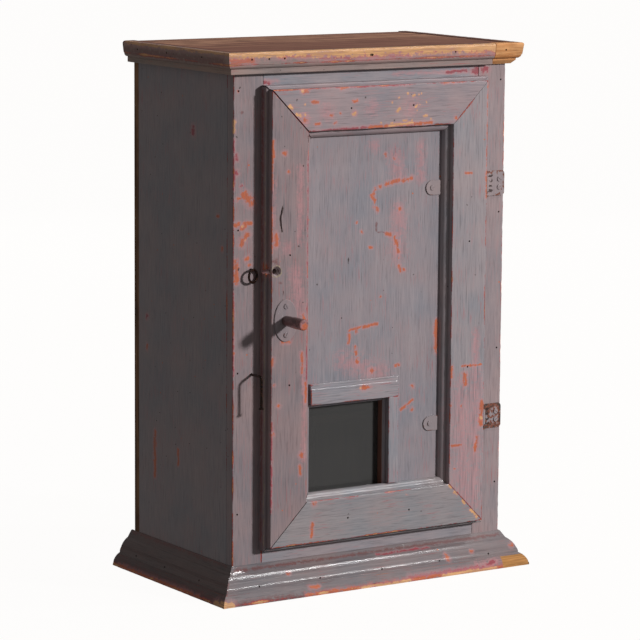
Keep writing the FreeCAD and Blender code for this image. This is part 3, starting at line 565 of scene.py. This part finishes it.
# %% Marks on the board, the case and the mouldings
marks["door_panel"] = {
    "salmon": spots(
        panel_y, (58, 687, 77, 691, 4.4), (23, 683, 50, 688, 4.4), (12, 679, 4.6),
        (3, 676, -1, 669, 4.6), (-6, 666, 1, 657, 4.2), (1, 656, 2, 648, 2.2), (2, 647, 7, 639, 4.2),
        (26, 599, 36, 596, 3.8), (43, 592, 47, 582, 5.8), (48, 580, 51, 567, 4.2), (52, 556, 2.6),
        (52, 543, 56, 533, 4.4), (63, 535, 4), (23, 733, 4.4), (40, 726, 3.8), (52, 638, 4.8),
        (-35, 621, 2.8), (-24, 605, 3.4), (-9, 577, -3, 577, 3.2), (15, 492, 2.6),
        (-47, 440, 8, 446, 3.4), (-34, 437, 4.6), (-47, 432, -49, 419, 4), (-35, 410, -31, 383, 4),
        (0, 368, 6.4), (46, 372, 54, 372, 3.4), (83, 332, 4.8), (50, 316, 4.8), (60, 294, 84, 309, 3.6),
        (82, 293, 4), (131, 442, 131, 390, 5.5)),
    "pink": spots(
        panel_y, (40, 730, 50, 700, 26), (-60, 390, 20, 360, 30), (95, 745, 95, 690, 18), (0, 748, 20),
        (50, 640, 50, 560, 26)),
    "stain": spots(panel_y, (5, 618, 5, 606, 4), (8, 603, 24, 600, 1.8)),
    "dirt": spots(panel_y, (-51, 562, -51, 553, 1.8), (-112, 522, 1.8), (-83, 709, 1.6), (83, 525, 1.8))}
marks["face_stile_left"] = {
    "salmon": spots(
        front, (-266, 673, -256, 675, 4), (-254, 679, -239, 666, 9), (-250, 684, 4.5), (-240, 674, 6),
        (-270, 630, -263, 632, 5), (-256, 626, -250, 631, 6.5), (-246, 633, -239, 632, 3.6),
        (-257, 599, -247, 613, 7.5), (-268, 569, -268, 538, 6.5), (-249, 573, -244, 575, 4.4),
        (-242, 563, 5), (-265, 849, 3.4), (-272, 418, 3.4)),
    "crimson": spots(
        front, (-269, 746, -268, 738, 4.4), (-268, 716, 6), (-258, 695, 3.6),
        (-273, 770, -273, 690, 3.4), (-273, 520, -273, 380, 2.6)),
    "bare": spots(front, (-255, 629, 3), (-250, 604, 3), (-273.5, 802, -273.5, 783, 4.5)),
    "stain": spots(front, (-258, 817, 6.5)),
    "dirt": spots(front, (-262, 855, 2.6), (-267, 775, 1.8), (-263, 557, 2.8))}
marks["face_rail_top"] = {
    "crimson": spots(
        front, (208, 868, 226, 867, 8), (150, 866, 190, 868, 3.4), (-222, 862, -205, 861, 3.4)),
    "pink": spots(front, (-228, 863, -190, 864, 8), (40, 868, 220, 866, 6))}
marks["face_stile_right"] = {"crimson": spots(front, (226, 867, 234, 868, 8))}
marks["side_left"] = {
    "salmon": run((left, 130, 245), (left, 130, 170), 6) + run((left, 52, 227), (left, 52, 203), 4.5)
    + run((left, 157, 391), (left, 157, 389), 5.5) + run((left, -80, 641), (left, -74, 641), 4)
    + run((left, -90, 589), (left, -90, 586), 4.5),
    "crimson": run((left, 3, 780), (left, 3, 770), 7) + run((left, 157, 445), (left, 157, 440), 5)}
marks["window_strip_top"] = {
    "salmon": spots(strip_low.y, (-25, 341, -12, 340, 5)),
    "bare": spots(strip_low.y, (-30, 341, 2.6))}
marks["base_front"] = {
    "salmon": strokes(
        (146, 22, 32, 150, 25, 25, 5.5), (200, 22, 33, 202, 22, 33, 4.5), (-150, toe, 3, 255, toe, 3, 5),
        (286, 21, 34, 288, 21, 34, 5), (-140, 34, 14, -124, 34, 14, 5), (-175, 18, 39, -172, 18, 39, 4)),
    "pink": strokes((205, 35, 12, 258, 36, 10, 14)),
    "crimson": strokes(
        (226, 36, 9, 240, 35, 13, 6), (60, 38, 6, 215, 38, 6, 6), (10, 9, 47, 120, 9, 47, 2.6)),
    "stain": strokes(
        (left - 20, 20, 35, left - 36, 36, 8, 3.5), (-270, 6, 52, 270, 6, 52, 5),
        (left - 36, 39, 3, right + 30, 39, 3, 11)),
    "bare": strokes(
        (-40, toe, 2, 60, toe, 2, 3.4), (130, toe, 2, 240, toe, 2, 4),
        (left - 39, 39, 3, left - 24, 39, 3, 9))}
marks["base_left"] = {
    "bare": run((left - 39, front - 39, 3), (left - 39, front - 14, 3), 9),
    "salmon": run((left - toe, -80, 3), (left - toe, 190, 3), 5),
    "stain": run((left - 37, -150, 6), (left - 37, 200, 6), 12)
    + run((left - 3, -110, 57), (left - 3, 200, 57), 6)}
marks["cornice_front"] = {
    "bare": strokes(
        (left - lip, lip, top_z, -130, lip, top_z - 1, 12),
        (-130, lip, top_z - 3, right - 36, lip, top_z - 3, 14)),
    "salmon": strokes(
        (left - 20, 21, 900, -250, 21, 901, 7), (-200, 21.5, 905, -60, 21.5, 906, 4.5),
        (-40, 21, 905, -10, 21, 905, 9), (0, 21.5, 904, right - 90, 21.5, 905, 5),
        (right - 90, 21, 904, right - 40, 21, 903, 9)),
    "crimson": strokes((-120, 21, 900, 60, 21, 900, 4)),
    "dirt": strokes((-19.7, 21.5, 902.7, -17, 21.5, 902.7, 3.4))}
marks["cornice_left"] = {
    "bare": run((left - lip, front - lip, top_z), (left - lip, 190, top_z), 6.5),
    "stain": run((left - 20, front, 898), (left - 20, 200, 898), 16)}
marks["cornice_right"] = {"bare": run((right + lip, front - lip, top_z), (right + lip, 190, top_z), 6)}
print(sum(len(rows) for piece in marks.values() for rows in piece.values()), "marks in all")

# %% [markdown]
# ## Arrises that wear
# An arris is the sharp edge where two faces meet, and it is where paint and wood go first. Each
# is written once: a point on it, the axis that it runs along, how far the paint has worn back,
# which way lies the wood, and how deep it has been bitten. The finish and the mesh share it.

# %% Table of arrises
x_run, y_run, z_run = 0, 1, 2
unit = ((1.0, 0.0, 0.0), (0.0, 1.0, 0.0), (0.0, 0.0, 1.0))
arrises = {
    "door_stile_left": [((door_low.x + frame_out, face_y, 0), z_run, 2.2, (1, 1, 0), 0.9),
                        ((door_low.x + frame_in, face_y, 0), z_run, 4.0, (-1, 1, 0), 1.3)],
    "door_stile_right": [((door_high.x - frame_out, face_y, 0), z_run, 4.5, (-1, 1, 0), 1.5),
                         ((door_high.x - frame_in, face_y, 0), z_run, 3.0, (1, 1, 0), 1.0)],
    "door_rail_top": [((0, face_y, door_high.z - frame_out), x_run, 4.0, (0, 1, -1), 1.5),
                      ((0, face_y, door_high.z - frame_in), x_run, 6.0, (0, 1, 1), 2.0)],
    "door_rail_bottom": [((0, face_y, door_low.z + frame_out), x_run, 3.5, (0, 1, 1), 1.2),
                         ((0, face_y, door_low.z + frame_in), x_run, 4.0, (0, 1, -1), 1.2)],
    "cornice_front": [((0, front - lip, top_z), x_run, 8.0, (0, 1, -1), 3.0),
                      ((0, front - cornice_step, cornice_step_z), x_run, 3.0, (0, 1, 1), 1.2)],
    "cornice_front_patch": [((0, front - lip, top_z), x_run, 4.0, (0, 1, -1), 1.2),
                            ((0, front - cornice_step, cornice_step_z), x_run, 3.0, (0, 1, 1), 1.0)],
    "cornice_left": [((left - lip, 0, top_z), y_run, 6.0, (1, 0, -1), 2.5),
                     ((left - cornice_step, 0, cornice_step_z), y_run, 3.0, (1, 0, 1), 1.2)],
    "cornice_right": [((right + lip, 0, top_z), y_run, 8.0, (-1, 0, -1), 2.5),
                      ((right + cornice_step, 0, cornice_step_z), y_run, 3.0, (-1, 0, 1), 1.2)],
    "base_front": [((0, front - toe, 3), x_run, 5.0, (0, 1, 0), 2.4),
                   ((0, front - base_step, base_step_z), x_run, 0.4, (0, 1, -1), 0.8)],
    "base_left": [((left - toe, 0, 3), y_run, 6.0, (1, 0, 0), 2.4),
                  ((left - base_step, 0, base_step_z), y_run, 0.4, (1, 0, -1), 0.8)],
    "base_right": [((right + toe, 0, 3), y_run, 6.0, (-1, 0, 0), 2.4),
                   ((right + base_step, 0, base_step_z), y_run, 0.4, (-1, 0, -1), 0.8)],
    "face_stile_left": [((left, front, 0), z_run, 4.0, (1, 1, 0), 1.6)],
    "face_stile_right": [((right, front, 0), z_run, 4.0, (-1, 1, 0), 1.4)],
}
mitre_wear = 3.0


def mitre(x, z, slope):
    """The joint that runs in from a corner of the door, worn like an arris."""
    return ((x, face_y, z), Vector((1, 0, slope)).normalized(), mitre_wear)


door_corner = {"tl": mitre(door_low.x, door_high.z, -1), "tr": mitre(door_high.x, door_high.z, 1),
               "bl": mitre(door_low.x, door_low.z, 1), "br": mitre(door_high.x, door_low.z, -1)}
mitres = {"door_stile_left": ("tl", "bl"), "door_stile_right": ("tr", "br"), "door_rail_top": ("tl", "tr"),
          "door_rail_bottom": ("bl", "br")}
print(len(arrises), "pieces with worn arrises")

# %% [markdown]
# ## Painting the boards
# Each board gets the painted finish with its own grain direction, because brush marks and
# grain ridges run along a board. Boards that are plain boxes wear along all their edges. A
# tint makes some boards a little darker, redder or yellower than the others, and the base keeps
# its gloss only on its rounds and away from its right end.

# %% Paint on case and door
grain_of = {"z": ["side_left", "side_right", "face_stile_left", "face_stile_right", "door_stile_left",
                  "door_stile_right", "door_panel", "window_strip_right"],
            "x": ["face_rail_top", "face_rail_bottom", "door_rail_top", "door_rail_bottom", "cornice_front",
                  "base_front", "window_strip_top"],
            "y": ["cornice_left", "cornice_right", "base_left", "base_right"]}
tints = {"door_stile_left": "#f0dfdb", "door_stile_right": "#fffcfa", "door_rail_top": "#fff2f0",
         "door_rail_bottom": "#f4f7f4", "door_panel": "#f4f2f3", "face_stile_left": "#f8e8e4",
         "face_stile_right": "#fff2ee", "side_left": "#f6f2f0", "side_right": "#f8f2f0",
         "base_front": "#d8d1cd", "base_left": "#b6a49d", "base_right": "#dcd4d0",
         "cornice_front": "#ffe9da", "cornice_left": "#ffe6cc"}
polish = {"base_front": 0.15, "base_left": 0.15, "base_right": 0.15, "window_strip_top": 0.15,
          "door_rail_bottom": 0.2}
# Axis, from, to and softness in mm: the base's toe and valley, and its right end
scuffed_bands = (("Z", -10.0, 20.5, 1.0), ("Z", 28.8, 35.0, 1.0), ("X", 190.0, 420.0, 80.0))
extra_wear = {"cornice_front": 0.25, "cornice_left": 0.2, "base_front": 0.2, "base_left": 0.2}
finish = {}


def dress(name, material):
    """Give a piece one finish."""
    nodes[name].data.materials.clear()
    nodes[name].data.materials.append(material)


for grain, names in grain_of.items():
    for name in names:
        plain = [door_back if name.startswith(("door", "window")) else inside_box]
        if name in ("base_front", "base_right"):
            plain.append(repair)
        if name.startswith("cornice"):
            plain.append(dusty_top)
        if name == "door_panel":
            plain.append(reveal)
        lines = [(point, unit[axis], width) for point, axis, width, inward, bite in arrises.get(name, ())]
        lines += [door_corner[corner] for corner in mitres.get(name, ())]
        boxed = name not in mitres and name != "door_panel" and not name.startswith(("cornice", "base"))
        finish[name] = painted(
            "paint_" + name, grain, lines, box_mm(name) if boxed else None, reach=3.5,
            marks=marks.get(name), plain=plain, wear=extra_wear.get(name, 0.0),
            tint=tints.get(name, "#ffffff"), rough=polish.get(name, 0.32),
            dull=scuffed_bands if name.startswith("base") else ())
        dress(name, finish[name])
print(len(finish), "boards painted")

# %% [markdown]
# ## Bare wood
# Old pine without paint has pale early wood between darker late-wood lines a few millimetres
# apart, and takes dirt in the grain. One function draws it, and each kind has its own pair of
# colours: the honey-coloured mend in the cornice, the dusty brown top, the inside. The top is
# also darker toward the front, a painted sheen that makes its back part look lit.


# %% Bare wood finish
def bare_wood(name, light, dark, grain, ring_mm, rough, dirt=0.3, painted_back_sheen=0.0):
    # Old sawn pine: matt, with pale and dark grain lines and grime in the pores
    material, tree, shader = new_finish(name)
    mm = millimetres(tree)
    along = node(tree, "VectorMath", {0: mm, 1: stretch[grain]}, operation="MULTIPLY")
    growth = node(tree, "TexNoise", {
        "Vector": along, "Scale": 1 / ring_mm, "Detail": 2.0, "Distortion": 0.6})
    fibre = node(tree, "TexNoise", {
        "Vector": along, "Scale": 1 / fibre_mm, "Detail": 3.0, "Roughness": 0.65})
    stain = node(tree, "TexNoise", {
        "Vector": mm, "Scale": 1 / patch_mm, "Detail": 4.0, "Roughness": 0.6})
    late = node(tree, "MapRange", {"Value": growth, "From Min": 0.4, "From Max": 0.62})
    colour = node(tree, "Mix", {0: late, 6: linear(light), 7: linear(dark)}, **rgba)
    thread = node(tree, "MapRange", {"Value": fibre, "From Min": 0.42, "From Max": 0.28, "To Max": 0.6})
    colour = node(tree, "Mix", {0: thread, 6: colour, 7: coat["dirt"]}, **rgba)
    grime = node(tree, "MapRange", {"Value": stain, "From Min": 0.45, "From Max": 0.75, "To Max": dirt})
    colour = node(tree, "Mix", {0: grime, 6: colour, 7: coat["dirt"]}, **rgba)
    # painted sheen: darker toward the front, so the top's back part looks lit
    if painted_back_sheen:  # darker toward the front, with a wandering border
        deep = node(tree, "SeparateXYZ", {0: mm}, "Y")
        deep = node(tree, "Math", {0: stain, 1: 160.0, 2: deep}, operation="MULTIPLY_ADD")
        toward = node(tree, "MapRange", {
            "Value": deep, "From Min": 150.0, "From Max": 40.0, "To Max": painted_back_sheen})
        colour = node(tree, "Mix", {0: toward, 6: colour, 7: linear(dark)}, **rgba)
    gloss = node(tree, "MapRange", {"Value": fibre, "To Min": rough - 0.12, "To Max": rough + 0.12})
    height = node(tree, "Math", {0: fibre, 1: 0.3}, operation="MULTIPLY")
    bump = node(tree, "Bump", {"Height": height, "Distance": 0.001, "Strength": 0.8})
    wire(tree, shader, {"Base Color": colour, "Specular IOR Level": 0.3, "Roughness": gloss,
                        "Normal": bump})
    return material


wood = {
    "patch": bare_wood("honey_pine", "#d9a06c", "#b97a49", "x", 5.0, 0.6, 0.35),
    # the last number paints a sheen on the top: darker at the front, paler at the back
    "top": bare_wood("dusty_top", "#bc8e74", "#7e5549", "x", 9.0, 0.88, 0.5, 0.75),
    "back": bare_wood("back_pine", "#8d6a4c", "#624630", "z", 8.0, 0.78, 0.6),
}
for grain, way in (("x", "level"), ("y", "deep"), ("z", "upright")):
    wood["inside_" + grain] = bare_wood("inside_pine_" + way, "#a9825a", "#7d5836", grain, 6.0, 0.7)
bare_boards = {"cornice_front_patch": "patch", "top_board": "top", "bottom_board": "inside_x",
               "latch_bar": "inside_z"}
for number in (1, 2, 3):
    bare_boards["back_board_%d" % number] = "back"
    bare_boards["shelf_%d" % number] = "inside_x"
    for side in ("left", "right"):
        bare_boards["shelf_cleat_%s_%d" % (side, number)] = "inside_y"
for side in ("left", "right"):
    bare_boards["glazing_bead_" + side] = "inside_z"
for side in ("top", "bottom"):
    bare_boards["glazing_bead_" + side] = "inside_x"
for name, kind in bare_boards.items():
    dress(name, wood[kind])
print(len(bare_boards), "bare boards")

# %% [markdown]
# ## Iron, peg and glass
# The hinges and the oval plate were painted over with the case, so they take the same paint
# with no grain ridges, over rusty iron. The ring eye, the turn nail and the nails are dark
# oxidised iron. The peg keeps some red paint. The pane is old glass, a little wavy and dusty.


# %% Iron and glass finishes
# Scale on the iron in mm, and how many waves and dust specks the glass has in a metre
scale_mm, waves_per_m, dust_per_m = 3.0, 22.0, 90.0


def dark_iron(name):
    # Forged iron, oxidised: near black and half shiny, browner and dull where it has rusted
    material, tree, shader = new_finish(name)
    mm = millimetres(tree)
    scale = node(tree, "TexNoise", {
        "Vector": mm, "Scale": 1 / scale_mm, "Detail": 4.0, "Roughness": 0.7})
    rust = node(tree, "MapRange", {"Value": scale, "From Min": 0.48, "From Max": 0.68})
    colour = node(tree, "Mix", {0: rust, 6: linear("#241d1a"), 7: linear("#5a3524")}, **rgba)
    gloss = node(tree, "MapRange", {"Value": rust, "To Min": 0.18, "To Max": 0.6})
    bump = node(tree, "Bump", {"Height": scale, "Distance": 0.0004, "Strength": 0.7})
    wire(tree, shader, {"Base Color": colour, "Metallic": 0.7, "Roughness": gloss, "Normal": bump})
    return material


def old_glass(name):
    # Old drawn window glass, grey with dust: dark room behind, slow waves in what it mirrors
    material, tree, shader = new_finish(name)
    place = node(tree, "TexCoord", out="Object")
    waves = node(tree, "TexNoise", {"Vector": place, "Scale": waves_per_m, "Detail": 1.0})
    dust = node(tree, "TexNoise", {"Vector": place, "Scale": dust_per_m, "Detail": 4.0})
    gloss = node(tree, "MapRange", {
        "Value": dust, "From Min": 0.4, "From Max": 0.8, "To Min": 0.02, "To Max": 0.08})
    bump = node(tree, "Bump", {"Height": waves, "Distance": 0.0004, "Strength": 0.12})
    wire(tree, shader, {"Base Color": linear("#6c6b6a"), "Transmission Weight": 0.72, "IOR": 1.52,
                        "Roughness": gloss, "Normal": bump})
    return material


iron = dark_iron("oxidised_iron")
for name in ("screw_eye", "turn_nail", "latch_pin", "cornice_nails", "base_nails", "face_nails",
             "back_nails", "frame_nails"):
    dress(name, iron)
dress("glass_pane", old_glass("old_window_glass"))
print("iron and glass done")

# %% Painted hinges and plate
knuckle_end, slot_width, proud = 246.0, 3.4, 2.0
slot_shares = (0.2, 0.4, 0.6, 0.8)


def knuckle_slot_shade(name):
    """Painted shade: dark strokes in the slots between a hinge's knuckles."""
    low, high = box_mm(name)
    heights = [low.z + share * (high.z - low.z) for share in slot_shares]
    return {"dirt": [((low.x, front - proud, z), (knuckle_end, front - proud, z), slot_width, 0.0)
                     for z in heights]}


# How far the paint has worn back from the edges in mm, and how worn the piece is all over
painted_iron = {"hinge_leaf_upper": (9.0, 0.1), "hinge_leaf_lower": (26.0, 0.5),
                "hinge_strap_upper": (2.0, 0.0), "hinge_strap_lower": (2.0, 0.1),
                "hinge_pin_upper": (2.0, 0.2), "hinge_pin_lower": (2.0, 0.3),
                "leaf_screws": (2.0, 0.0), "strap_screws": (2.0, 0.0),
                "escutcheon_plate": (2.0, 0.0), "escutcheon_screws": (2.0, 0.0)}
for name, (reach, wear) in painted_iron.items():
    finish[name] = painted(
        "paint_" + name, "z", box=box_mm(name), reach=reach, ridges=0.25, wear=wear, metal=True,
        marks=knuckle_slot_shade(name) if name.startswith("hinge_leaf") else None,
        tint="#f8e8e4" if name.startswith("escutcheon") else "#fff6f2")
    dress(name, finish[name])
print(len(painted_iron), "iron pieces painted over")

# %% The peg
peg_low, peg_high = box_mm("knob_peg")
peg_x, peg_z = (peg_low.x + peg_high.x) / 2, (peg_low.z + peg_high.z) / 2
end_y = peg_low.y
peg_marks = {"crimson": run((peg_x, end_y, peg_z - 8), (peg_x, end_y + 40, peg_z - 8), 10),
             "salmon": run((peg_x + 2, end_y, peg_z - 3), (peg_x + 2, end_y + 14, peg_z - 7), 9)
             + run((peg_x - 4, end_y + 4, peg_z - 7), (peg_x - 4, end_y + 22, peg_z - 8), 6)
             + run((peg_x + 3, end_y, peg_z - 3), (peg_x + 3, end_y + 1, peg_z - 3), 8)}
dress("knob_peg", painted("paint_peg", "y", ridges=0.6, wear=0.3, tint="#a8827a", marks=peg_marks))
print("peg end at", round(end_y, 1))

# %% [markdown]
# ## Chewed arrises
# A CAD moulding is perfectly straight, and the eye notices. Each worn piece is a copy of its
# node, with its doubles merged, cut into short slices along its run and into narrow rows beside
# each arris. The points near the arris are then pushed into the wood by steady noise: a long
# wave for the hand's rubbing, a short one for knocks. How deep each point went is kept in an
# attribute, and the finish reads it, so that a chip shows its bare wood.

# %% Slice and bite a copy
slice_mm, reach_mm = 7.0, 6.5
rub_mm, knock_mm = 46.0, 10.0
bite_mean, rub_share, knock_share, bite_curve = 0.22, 0.45, 0.65, 1.4
merge_mm, smooth_angle = 0.02, math.radians(38)
row_shares = (0.3, 0.65, 1.0)


def cut_across(point, axis):
    """Cut the open mesh with a plane across an axis."""
    bpy.ops.mesh.select_all(action="SELECT")
    bpy.ops.mesh.bisect(plane_co=Vector(point) / mm_per_m, plane_no=unit[axis])


def merged_copy(name):
    """A copy of a piece, with the doubled points of its faces merged."""
    piece = bpy.data.objects.new(name + "_worn", nodes[name].data.copy())
    bpy.context.collection.objects.link(piece)
    bpy.ops.object.select_all(action="DESELECT")
    piece.select_set(True)
    bpy.context.view_layer.objects.active = piece
    bpy.ops.mesh.customdata_custom_splitnormals_clear()
    bpy.ops.object.mode_set(mode="EDIT")
    bpy.ops.mesh.select_all(action="SELECT")
    bpy.ops.mesh.remove_doubles(threshold=merge_mm / mm_per_m)
    bpy.ops.object.mode_set(mode="OBJECT")
    return piece


def stand_in(piece, name, body):
    """Show a copy in its piece's place, on the same body."""
    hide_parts(name)
    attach(piece, body)
    print(piece.name, len(piece.data.polygons), "faces")


def worn_copy(name, body, axis, bites):
    """Slice a copy along its run and bite its arrises."""
    piece = merged_copy(name)
    low, high = box_mm(name)
    count = round((high[axis] - low[axis]) / slice_mm)
    bpy.ops.object.mode_set(mode="EDIT")
    for index in range(1, count):
        cut_across(low.lerp(high, index / count), axis)
    for point, inward, depth in bites:
        for side in (x_run, y_run, z_run):
            for share in row_shares if inward[side] else ():
                cut_across(Vector(point) + Vector(unit[side]) * inward[side] * reach_mm * share, side)
    bpy.ops.object.mode_set(mode="OBJECT")
    bite_points(piece, axis, bites)
    bpy.ops.object.shade_smooth_by_angle(angle=smooth_angle)
    stand_in(piece, name, body)


def bite_points(piece, axis, bites):
    """Push points near each arris into the wood and note how deep."""
    chipped = piece.data.attributes.new("chipped", "FLOAT", "POINT")
    for number, (point, inward, depth) in enumerate(bites):
        push = Vector(inward).normalized() / mm_per_m
        # Each arris takes its own stretch of the noise
        seed = sum(point) * 0.37 + number * 11.3
        for vertex in piece.data.vertices:
            away = vertex.co * mm_per_m - Vector(point)
            along = away[axis]
            away[axis] = 0.0
            near = 1.0 - away.length / reach_mm
            if near > 0:
                rub = noise.noise(Vector((along / rub_mm, seed, 0.0)))
                knock = noise.noise(Vector((along / knock_mm, seed, 5.0)))
                bite = bite_mean + rub_share * rub + knock_share * knock
                bite = min(max(bite, 0.0), 1.0) * near ** bite_curve
                vertex.co += push * depth * bite
                chipped.data[vertex.index].value = max(chipped.data[vertex.index].value, bite)


print("slices", slice_mm, "mm long, arrises bitten over", reach_mm, "mm")

# %% Worn pieces
for name, rows in arrises.items():
    body = "door" if name.startswith("door") else "case"
    bites = [(point, inward, depth) for point, axis, width, inward, depth in rows]
    worn_copy(name, body, rows[0][1], bites)

# %% [markdown]
# ## Window strips
# The two strips round the window are plain battens with arrises rubbed to a small radius. Along
# the upper edge of the top one runs a small step, so its copy is cut along the step and the band
# above is set back. A bevel modifier then rounds every edge, and hardened normals keep the faces
# between them flat, so that only the arrises catch a line of light.

# %% Window strips with rubbed arrises
step_mm, rise_mm, near_mm = 2.0, 0.6, 0.1
round_mm, sharp_angle = 1.3, math.radians(25)


def step_back(strip):
    """Turn the bevel along the strip's upper edge into a step with a flat band above it."""
    points = [vertex.co * mm_per_m for vertex in strip.data.vertices]
    ledge = max(point.z for point in points if point.y < strip_low.y + near_mm) + rise_mm
    bpy.ops.object.mode_set(mode="EDIT")
    cut_across((0, 0, ledge), z_run)
    bpy.ops.object.mode_set(mode="OBJECT")
    for vertex in strip.data.vertices:
        point = vertex.co * mm_per_m
        if point.z > ledge - near_mm and point.y < panel_y - near_mm:
            vertex.co.y = (strip_low.y + step_mm) / mm_per_m
    print("step at", round(ledge, 1), "mm")


for name in ("window_strip_top", "window_strip_right"):
    strip = merged_copy(name)
    if name == "window_strip_top":
        step_back(strip)
    soften = strip.modifiers.new("soften", "BEVEL")
    soften.width = round_mm / mm_per_m
    soften.segments = 3
    soften.limit_method = "ANGLE"
    soften.angle_limit = sharp_angle
    soften.harden_normals = True
    bpy.ops.object.shade_smooth()
    bpy.ops.object.modifier_apply(modifier="soften")
    stand_in(strip, name, "door")
